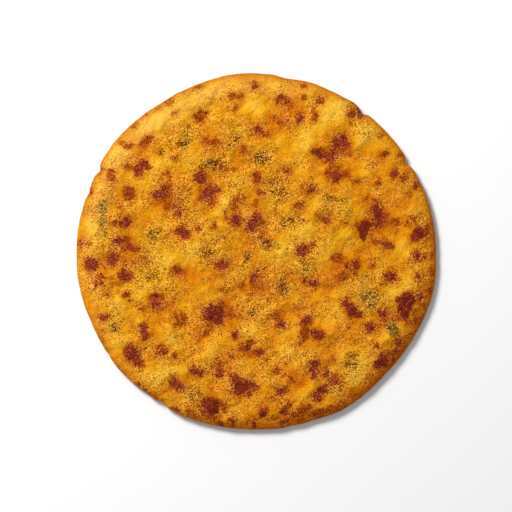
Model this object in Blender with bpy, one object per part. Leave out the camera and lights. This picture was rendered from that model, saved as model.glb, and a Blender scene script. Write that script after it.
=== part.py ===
"""Besan roti: a round flatbread of gram flour dough, baked on a flat pan.

The bread is one solid. Lengths are in metres and +Z points up. It lies flat, with the origin
at the centre of the flat underside that it rests on.
"""

import math

import bmesh
import bpy
from mathutils import Matrix, Vector, noise

MM = 0.001
SMALL = 1e-6

# Driving sizes
MEAN_RADIUS = 84.6 * MM      # centre to the widest line of the rim
THICKNESS = 6.9 * MM         # underside to top in the middle, without the swells
RIM_HEIGHT = 2.4 * MM        # widest line of the rim above the underside
EDGE_REACH = 11.0 * MM       # how far in from the rim the top starts to roll over
UNDER_REACH = 4.5 * MM       # how far in from the rim the underside meets the board

# Fineness of the mesh
SECTOR = math.radians(60)    # the top is six equal sectors, each cut into small triangles
RINGS = 32                   # rings of triangles from the centre to the rim
CROWDING = 0.15              # how much closer together the rings lie at the rim
CROWDING_POWER = 4           # how near the rim the crowding sets in
UNDER_LOOPS = 4              # loops from the rim's widest line down to the underside
SHARP_ANGLE = math.radians(50)

# The outline isn't a true circle: waves as (crests round the rim, swing, angle of a crest)
OUTLINE_WAVES = (
    (1, 0.99 * MM, 256),
    (2, 0.41 * MM, 174),
    (3, 0.33 * MM, 98),
    (4, 0.15 * MM, 84),
    (5, 0.19 * MM, 4),
    (6, 0.13 * MM, 52),
    (7, 0.18 * MM, 42),
    (9, 0.27 * MM, 19),
    (14, 0.12 * MM, 15),
)
# Small nicks where the rim cracked in baking, and bulges beside them with a depth below 0:
# (angle, width in degrees, depth)
RIM_NICKS = (
    (30.4, 1.6, 1.3 * MM),
    (52.4, 1.3, 1.5 * MM),
    (56.5, 2.0, -0.5 * MM),
    (72.0, 3.0, -0.3 * MM),
    (79.5, 3.0, 0.4 * MM),
    (123.0, 3.5, 0.2 * MM),
    (153.0, 1.1, 1.3 * MM),
    (161.0, 1.3, 0.6 * MM),
    (192.0, 8.0, -0.25 * MM),
    (215.0, 1.2, 0.4 * MM),
    (232.0, 1.2, 0.5 * MM),
    (238.4, 1.4, 0.8 * MM),
    (246.0, 5.0, -0.4 * MM),
    (277.0, 4.0, -0.4 * MM),
    (290.0, 4.0, 0.4 * MM),
)
# The dough at the very edge is a little crumbled: (size of a crumb, swing)
EDGE_CRUMBLE = (5.0 * MM, 0.25 * MM)
# The edge lifts a little off the board here and there: (lifts round the rim, share, angle)
LIFT_WAVES = (
    (3, 0.30, 140),
    (5, 0.22, 20),
)
RIM_LIFT = 0.5               # share of that lift which the rim's widest line follows
# The roll of the top edge is wider on one side: (wide places round the rim, share, angle)
ROLL_WAVES = (
    (1, 0.05, 318),
    (2, 0.16, 138),
    (4, 0.12, 25),
)

# Swells pushed up by steam, and the hollows between them, as
# (x, y, length, width, turn of the length from +X in degrees, rise), in millimetres.
# Most of them lean the way the dough was rolled, from lower left to upper right.
# SWELL_SCALE is how far they really rise for each millimetre in the rows.
SWELL_SCALE = 1.7
SWELLS = (
    (-27.0, 73.6, 22, 7, 22, 0.30),
    (-48.4, 60.2, 18, 8, 30, 0.40),
    (-66.5, 45.2, 11, 9, 45, 0.35),
    (-78.0, 12.0, 6, 12, 0, 0.25),
    (-47.6, 39.7, 9, 7, 45, 0.28),
    (-31.8, 44.4, 9, 7, 20, 0.26),
    (-16.0, 20.8, 22, 7, 48, 0.34),
    (-1.0, 67.3, 10, 9, 60, 0.30),
    (34.5, 63.4, 20, 8, 40, 0.42),
    (22.7, 49.2, 15, 7, 80, 0.36),
    (51.0, 52.3, 14, 8, 35, 0.32),
    (53.4, 37.3, 8, 8, 0, 0.24),
    (12.0, 0.0, 9, 13, -15, 0.42),
    (21.0, 9.5, 12, 8, 20, 0.34),
    (37.7, 5.0, 16, 5, 40, 0.28),
    (67.6, 1.8, 10, 17, 0, 0.34),
    (67.7, -18.7, 20, 8, 42, 0.38),
    (-42.8, -4.5, 10, 8, 0, 0.38),
    (-29.4, -1.3, 11, 6, 50, 0.36),
    (-54.7, -18.7, 9, 7, 30, 0.28),
    (-65.0, -25.0, 9, 9, 0, 0.28),
    (-62.0, -42.4, 13, 7, 10, 0.28),
    (-22.3, -48.7, 12, 7, 55, 0.36),
    (-42.8, -58.2, 16, 8, 18, 0.34),
    (-3.4, -37.6, 11, 7, 45, 0.30),
    (36.0, -32.1, 14, 8, 45, 0.36),
    (12.0, -47.0, 9, 9, 0, 0.26),
    (48.0, -56.0, 15, 8, 45, 0.36),
    (23.4, -67.6, 14, 7, 40, 0.32),
)
HOLLOWS = (
    (13.0, 68.0, 18, 10, 10, 0.30),
    (-54.7, 48.4, 17, 7, 50, 0.34),
    (39.0, 46.0, 18, 13, 0, 0.28),
    (-40.0, 22.5, 15, 10, 0, 0.30),
    (-23.0, 28.6, 9, 11, 0, 0.24),
    (1.5, 9.0, 11, 13, 0, 0.32),
    (-34.0, -11.6, 15, 6, 0, 0.30),
    (-67.0, -6.0, 14, 12, 0, 0.30),
    (2.0, -17.0, 17, 13, 0, 0.30),
    (-47.6, -25.0, 12, 9, 0, 0.28),
    (57.0, 10.0, 16, 16, 0, 0.28),
    (39.0, -8.0, 18, 12, 20, 0.24),
    (-4.2, -48.5, 15, 5, -20, 0.26),
    (-15.0, -25.0, 9, 13, 0, 0.22),
)
# Finer unevenness of the crumb between them: (size of a lump, rise)
LUMPS = (
    (9.0 * MM, 0.40 * MM),
    (5.0 * MM, 0.20 * MM),
)

DOUGH_COLOUR = (0.70, 0.32, 0.035, 1.0)
DOUGH_ROUGHNESS = 0.72


def clear_scene():
    """Remove every object that the file starts with."""
    for thing in list(bpy.data.objects):
        bpy.data.objects.remove(thing, do_unlink=True)


def waves(angle, rows):
    """Sum at an angle in radians of waves round the rim, given as (crests, swing, angle)."""
    return sum(swing * math.cos(crests * (angle - math.radians(crest)))
               for crests, swing, crest in rows)


def outline_radius(angle):
    """Distance from the centre to the rim's widest line at an angle."""
    crumb, swing = EDGE_CRUMBLE
    on_rim = Vector((math.cos(angle), math.sin(angle), 0.0)) * (MEAN_RADIUS / crumb)
    radius = MEAN_RADIUS + waves(angle, OUTLINE_WAVES) + swing * noise.noise(on_rim)
    for place, width, depth in RIM_NICKS:
        away = math.remainder(angle - math.radians(place), math.tau) / math.radians(width)
        radius -= depth * math.exp(-away * away)
    return radius


def rim_height(angle):
    """Height of the rim's widest line above the underside at an angle."""
    return RIM_HEIGHT * (1.0 + RIM_LIFT * waves(angle, LIFT_WAVES))


def mounds(x, y, rows):
    """Height in metres, at a place in metres, of soft oval mounds given as rows of millimetres."""
    height = 0.0
    for centre_x, centre_y, length, width, turn, rise in rows:
        away = Vector((x / MM - centre_x, y / MM - centre_y))
        along = Vector((math.cos(math.radians(turn)), math.sin(math.radians(turn))))
        u = away.dot(along) / (length / 2)
        v = away.cross(along) / (width / 2)
        height += rise * MM * math.exp(-(u * u + v * v))
    return height


def relief(x, y):
    """Height of the top above its even level at a place: swells, hollows and lumps."""
    height = SWELL_SCALE * (mounds(x, y, SWELLS) - mounds(x, y, HOLLOWS))
    for size, rise in LUMPS:
        height += rise * noise.noise(Vector((x / size, y / size, 0.0)))
    return height


def top_height(x, y, angle, inset):
    """Height of the top at a place that lies `inset` in from the rim's widest line."""
    reach = EDGE_REACH * (1.0 + waves(angle, ROLL_WAVES))
    outward = 1.0 - min(inset / reach, 1.0)
    shoulder = math.sqrt(max(0.0, 1.0 - outward * outward))
    rim = rim_height(angle)
    return rim + (THICKNESS - rim) * shoulder + relief(x, y) * shoulder


def fan_disc():
    """Return a flat unit hexagon with a corner on +X, cut into RINGS rings of equal triangles."""
    disc = bmesh.new()
    corner_to_x = Matrix.Rotation(SECTOR / 2, 4, "Z")
    bmesh.ops.create_circle(disc, cap_ends=True, cap_tris=True, segments=6, radius=1.0,
                            matrix=corner_to_x)
    bmesh.ops.subdivide_edges(disc, edges=disc.edges[:], cuts=RINGS - 1, use_grid_fill=True)
    return disc


def ring_and_angle(point):
    """Ring share, 0 at the centre and 1 at the rim, and angle of a point of the hexagon."""
    sector = math.floor(math.atan2(point.y, point.x) / SECTOR + SMALL)
    first = SECTOR * sector
    middle = Vector((math.cos(first + SECTOR / 2), math.sin(first + SECTOR / 2)))
    ring = point.xy.dot(middle) / math.cos(SECTOR / 2)
    if ring < SMALL:
        return 0.0, 0.0
    corner = Vector((math.cos(first), math.sin(first)))
    next_corner = Vector((math.cos(first + SECTOR), math.sin(first + SECTOR)))
    share = (point.xy / ring - corner).dot(next_corner - corner)
    return ring, first + share * SECTOR


def shape_top(bread):
    """Spread the flat fan out to the outline and lift it to the top's form."""
    for vertex in bread.verts:
        ring, angle = ring_and_angle(vertex.co)
        radius = outline_radius(angle)
        reach = radius * ring * (1.0 + CROWDING * (1.0 - ring ** CROWDING_POWER))
        x = reach * math.cos(angle)
        y = reach * math.sin(angle)
        vertex.co = (x, y, top_height(x, y, angle, radius - reach))


def turn_edge_under(bread):
    """Carry the rim down and in to the flat underside, and close that."""
    open_edges = [edge for edge in bread.edges if edge.is_boundary]
    for step in range(1, UNDER_LOOPS + 1):
        quarter = math.radians(90) * step / UNDER_LOOPS
        grown = bmesh.ops.extrude_edge_only(bread, edges=open_edges)["geom"]
        for vertex in (item for item in grown if isinstance(item, bmesh.types.BMVert)):
            angle = math.atan2(vertex.co.y, vertex.co.x)
            curl = UNDER_REACH * (1.0 + waves(angle, LIFT_WAVES))
            inset = curl * (1.0 - math.cos(quarter))
            across = outline_radius(angle) - inset
            height = rim_height(angle) * (1.0 - math.sin(quarter))
            vertex.co = (across * math.cos(angle), across * math.sin(angle), height)
        open_edges = [item for item in grown if isinstance(item, bmesh.types.BMEdge)]
    bmesh.ops.contextual_create(bread, geom=open_edges)


def centre(bread):
    """Move the middle of the bread's outline over the origin."""
    xs = [vertex.co.x for vertex in bread.verts]
    ys = [vertex.co.y for vertex in bread.verts]
    middle = Vector(((min(xs) + max(xs)) / 2, (min(ys) + max(ys)) / 2, 0.0))
    bmesh.ops.translate(bread, verts=bread.verts[:], vec=-middle)


def dough_material():
    """Return the matte golden finish of the baked dough."""
    dough = bpy.data.materials.new("baked_dough")
    dough.use_nodes = True
    surface = dough.node_tree.nodes["Principled BSDF"]
    surface.inputs["Base Color"].default_value = DOUGH_COLOUR
    surface.inputs["Roughness"].default_value = DOUGH_ROUGHNESS
    surface.inputs["Metallic"].default_value = 0.0
    return dough


def build_roti(collection):
    """Make the bread and put it in a collection."""
    bread = fan_disc()
    shape_top(bread)
    turn_edge_under(bread)
    centre(bread)
    bmesh.ops.recalc_face_normals(bread, faces=bread.faces[:])
    mesh = bpy.data.meshes.new("roti")
    bread.to_mesh(mesh)
    bread.free()
    mesh.shade_smooth()
    mesh.set_sharp_from_angle(angle=SHARP_ANGLE)
    mesh.materials.append(dough_material())
    roti = bpy.data.objects.new("roti", mesh)
    collection.objects.link(roti)
    return roti


def main():
    """Build the besan roti in a collection of its own."""
    clear_scene()
    collection = bpy.data.collections.new("besan_roti")
    bpy.context.scene.collection.children.link(collection)
    build_roti(collection)


main()
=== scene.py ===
"""Looks of a besan roti: a round flatbread of gram flour dough, baked on a flat pan.

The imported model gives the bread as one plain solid. This script replaces its surface with the
finished crust, presses chopped herbs and ground spice into it, and lights it for a camera that
looks straight down. The tables and the form's formulas are in millimetres, measured from the
middle of the outline before it is centred, with +X to the right and +Y up in the picture. The
finished meshes are in metres.
"""

import logging
import math
import random
from dataclasses import dataclass
from enum import Enum
from typing import Union

import bmesh
import bpy
import numpy as np
from mathutils import Euler, Matrix, Vector, noise


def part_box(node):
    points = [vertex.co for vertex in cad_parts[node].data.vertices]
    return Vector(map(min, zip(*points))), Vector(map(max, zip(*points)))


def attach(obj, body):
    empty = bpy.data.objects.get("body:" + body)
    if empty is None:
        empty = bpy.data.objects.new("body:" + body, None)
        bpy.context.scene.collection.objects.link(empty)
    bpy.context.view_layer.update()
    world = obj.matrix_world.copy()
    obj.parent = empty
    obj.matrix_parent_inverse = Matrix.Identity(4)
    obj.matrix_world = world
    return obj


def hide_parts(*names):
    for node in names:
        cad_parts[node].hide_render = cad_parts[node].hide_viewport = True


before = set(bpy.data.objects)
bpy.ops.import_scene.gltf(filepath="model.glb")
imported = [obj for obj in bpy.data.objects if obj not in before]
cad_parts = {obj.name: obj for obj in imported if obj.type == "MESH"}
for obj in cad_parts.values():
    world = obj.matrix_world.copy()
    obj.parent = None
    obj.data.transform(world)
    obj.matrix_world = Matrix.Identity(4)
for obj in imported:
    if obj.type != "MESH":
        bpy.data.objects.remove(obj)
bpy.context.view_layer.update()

logging.basicConfig(level=logging.INFO, format="%(levelname)s %(message)s")
log = logging.getLogger("besan_roti")

MM = 0.001
MM_IN_A_METRE = 1000.0
SIDES = 6
SECTOR = math.tau / SIDES
DIAGONAL = math.sqrt(0.5)
TINY = 1e-6

Pair = tuple[float, float]
Row = tuple[float, ...]
Table = tuple[Row, ...]
Place = tuple[float, float, float]
Colour = tuple[float, float, float, float]
Ramp = tuple[tuple[float, Colour], ...]
Array = np.ndarray
Socket = bpy.types.NodeSocket
Value = Union[Socket, Colour, float]


class Bake(Enum):
    """How far a patch of crust has browned: 1 is char, and the burnt char is denser still."""

    FAINT = 0.35
    BROWN = 0.65
    RUSSET = 0.82
    DARK = 1.0
    BURNT = 1.3


# Swells of the solid: (x, y, length, width, turn of the length from +X, rise).
SWELLS: Table = (
    (-27, 73.6, 22, 7, 22, 0.30), (-48.4, 60.2, 18, 8, 30, 0.40), (-66.5, 45.2, 11, 9, 45, 0.35),
    (-78, 12, 6, 12, 0, 0.25), (-47.6, 39.7, 9, 7, 45, 0.28), (-31.8, 44.4, 9, 7, 20, 0.26),
    (-16, 20.8, 22, 7, 48, 0.34), (-1, 67.3, 10, 9, 60, 0.30), (34.5, 63.4, 20, 8, 40, 0.42),
    (22.7, 49.2, 15, 7, 80, 0.36), (51, 52.3, 14, 8, 35, 0.32), (53.4, 37.3, 8, 8, 0, 0.24),
    (12, 0, 9, 13, -15, 0.42), (21, 9.5, 12, 8, 20, 0.34), (37.7, 5, 16, 5, 40, 0.28),
    (67.6, 1.8, 10, 17, 0, 0.34), (67.7, -18.7, 20, 8, 42, 0.38), (-42.8, -4.5, 10, 8, 0, 0.38),
    (-29.4, -1.3, 11, 6, 50, 0.36), (-54.7, -18.7, 9, 7, 30, 0.28), (-65, -25, 9, 9, 0, 0.28),
    (-62, -42.4, 13, 7, 10, 0.28), (-22.3, -48.7, 12, 7, 55, 0.36), (-42.8, -58.2, 16, 8, 18, 0.34),
    (-3.4, -37.6, 11, 7, 45, 0.30), (36, -32.1, 14, 8, 45, 0.36), (12, -47, 9, 9, 0, 0.26),
    (48, -56, 15, 8, 45, 0.36), (23.4, -67.6, 14, 7, 40, 0.32),
)
# Hollows of the solid, in the same way, with how deep they are.
HOLLOWS: Table = (
    (13, 68, 18, 10, 10, 0.30), (-54.7, 48.4, 17, 7, 50, 0.34), (39, 46, 18, 13, 0, 0.28),
    (-40, 22.5, 15, 10, 0, 0.30), (-23, 28.6, 9, 11, 0, 0.24), (1.5, 9, 11, 13, 0, 0.32),
    (-34, -11.6, 15, 6, 0, 0.30), (-67, -6, 14, 12, 0, 0.30), (2, -17, 17, 13, 0, 0.30),
    (-47.6, -25, 12, 9, 0, 0.28), (57, 10, 16, 16, 0, 0.28), (39, -8, 18, 12, 20, 0.24),
    (-4.2, -48.5, 15, 5, -20, 0.26), (-15, -25, 9, 13, 0, 0.22),
)
# Smaller swells and dips that only the finished crust has.
SMALL_SWELLS: Table = (
    (-12, 62, 14, 7, 15, 0.12), (-40, 51, 8, 6, 60, 0.10), (-48, 35, 10, 5, 60, 0.09),
    (-28, 15, 7, 5, 150, 0.09), (-14, 9, 9, 4, 55, 0.10), (-7, -4, 10, 4, 70, 0.09),
    (-14, -18, 6, 7, 0, 0.08), (-50, -46, 9, 7, 0, 0.13), (-38, -27, 4, 10, 0, 0.09),
    (-15, -47, 20, 5, 30, 0.10), (42, -66, 12, 8, 40, 0.10), (32, -50, 8, 6, 0, 0.07),
    (57, -28, 8, 8, 45, 0.09), (66, -45, 7, 6, 0, 0.08), (47, 17, 12, 8, 35, 0.10),
    (32, 28, 8, 6, 0, 0.07), (30, 52, 6, 8, 0, 0.09), (55, 57, 6, 8, 45, 0.10),
    (78, 18, 6, 12, 0, 0.09), (68, 12, 8, 5, 0, 0.07), (-73, 25, 9, 6, 20, 0.09),
    (-70, 3, 5, 10, 0, 0.09), (-53, -9, 6, 7, 0, 0.08), (-58, -37, 8, 5, 150, 0.07),
    (25, 6, 9, 4, 40, 0.08), (-73, 28, 8, 10, -10, 0.30), (-67, 41, 7, 6, 0, 0.16),
    (-77, 11, 5, 9, 0, 0.14), (-41, 63, 12, 9, 40, 0.20), (-35.8, 34.2, 6, 6, 0, 0.12),
    (-35.5, 14, 10, 6, 10, 0.18), (-17, 67, 10, 9, 20, 0.30), (-8, 78, 10, 5, 10, 0.14),
    (31, 58, 18, 6, 25, 0.16), (66, 45, 5, 10, 0, 0.16), (79, 24, 5, 14, 20, 0.14),
    (12, 3, 7, 12, -30, 0.14), (27, 10, 8, 6, 0, 0.12), (57, -6, 6, 15, 0, 0.20),
    (73, -3, 8, 9, 0, 0.16), (-43, -12, 8, 18, 0, 0.12), (17.5, -38, 7, 5, 0, 0.16),
    (47, -60, 13, 8, 30, 0.20), (7.4, 78.4, 9, 5, -5, 0.16), (12.4, 52.3, 8, 8, 0, 0.12),
    (-1.8, 38, 17, 4, 10, 0.12), (26.6, 18.4, 12, 5, 35, 0.16), (40.8, 20.8, 8, 6, 40, 0.14),
    (74, 19.2, 6, 8, 0, 0.14), (-24.7, -17, 9, 4, 20, 0.16), (-42.8, -14, 7, 5, 0, 0.12),
    (-54.7, -32.9, 10, 5, 20, 0.14), (-40.5, -42.4, 9, 6, -30, 0.16), (4.5, -28, 13, 4, 30, 0.16),
    (18.7, -53.4, 8, 7, 30, 0.16), (40.8, -50.3, 7, 7, 0, 0.16), (6.9, -61.3, 8, 7, 40, 0.12),
    (0.5, -70, 7, 6, 40, 0.12), (-5, -77, 10, 6, 0, 0.14), (60.5, -40.8, 11, 6, 30, 0.16),
)
SMALL_DIPS: Table = (
    (-5, 74, 7, 7, 0, 0.16), (33, 68, 9, 7, 0, 0.16), (46, 55, 7, 5, 30, 0.12),
    (-58, 54, 6, 5, 0, 0.10), (-76, -28, 6, 5, 0, 0.10), (-48, -57, 5, 5, 0, 0.14),
    (66, 3, 6, 5, 0, 0.12), (-22, -42, 6, 5, 60, 0.10), (5, 10, 6, 5, 0, 0.10),
    (10, -42, 8, 5, 120, 0.10), (-60, 10, 6, 5, 0, 0.09), (-34, 38, 8, 4, 0, 0.08),
    (22, 35, 4, 7, 0, 0.09), (42, 34, 6, 5, 150, 0.08), (22, -62, 8, 5, 60, 0.09),
    (-78, 12, 5, 5, 0, 0.10), (-26.3, 61.8, 5, 9, 0, 0.16), (-17, 35, 9, 11, 0, 0.18),
    (-10.5, 45, 5, 11, 0, 0.16), (-36.5, 24.5, 6, 7, 0, 0.16), (-43.5, 16, 6, 7, 0, 0.18),
    (-57, 4, 11, 7, -30, 0.20), (50, 33, 12, 5, -10, 0.16), (3.5, 11.5, 6, 7, 0, 0.30),
    (49, 0, 8, 9, 0, 0.18), (13, -12, 12, 6, 20, 0.22), (22, -20, 8, 9, 0, 0.22),
    (36.5, -15.5, 8, 8, 0, 0.28), (15, -28, 12, 6, 10, 0.24), (66, -33, 9, 8, 0, 0.20),
    (7, -45, 7, 17, 0, 0.24), (37, -42, 15, 7, 20, 0.24), (33, -55, 8, 8, 0, 0.14),
    (-33, -62, 9, 6, 0, 0.20), (-14, -75, 7, 6, 0, 0.16), (10, -70, 8, 8, 0, 0.16),
    (-17.6, 44.4, 12, 10, 0, 0.14), (-8, 17.8, 9, 13, 0, 0.14), (33, 14, 7, 8, 0, 0.14),
    (-60.2, -50.3, 10, 8, 0, 0.16), (-27, -40.8, 5, 10, 0, 0.14), (18.7, -13, 7, 5, 0, 0.14),
    (7.6, 33.4, 9, 7, 0, 0.12), (-66.5, -15.6, 12, 3, 10, 0.16), (28, -57, 9, 7, 0, 0.14),
    (47, -42, 10, 5, 30, 0.12), (-30, -72, 8, 5, 20, 0.12),
)

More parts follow.
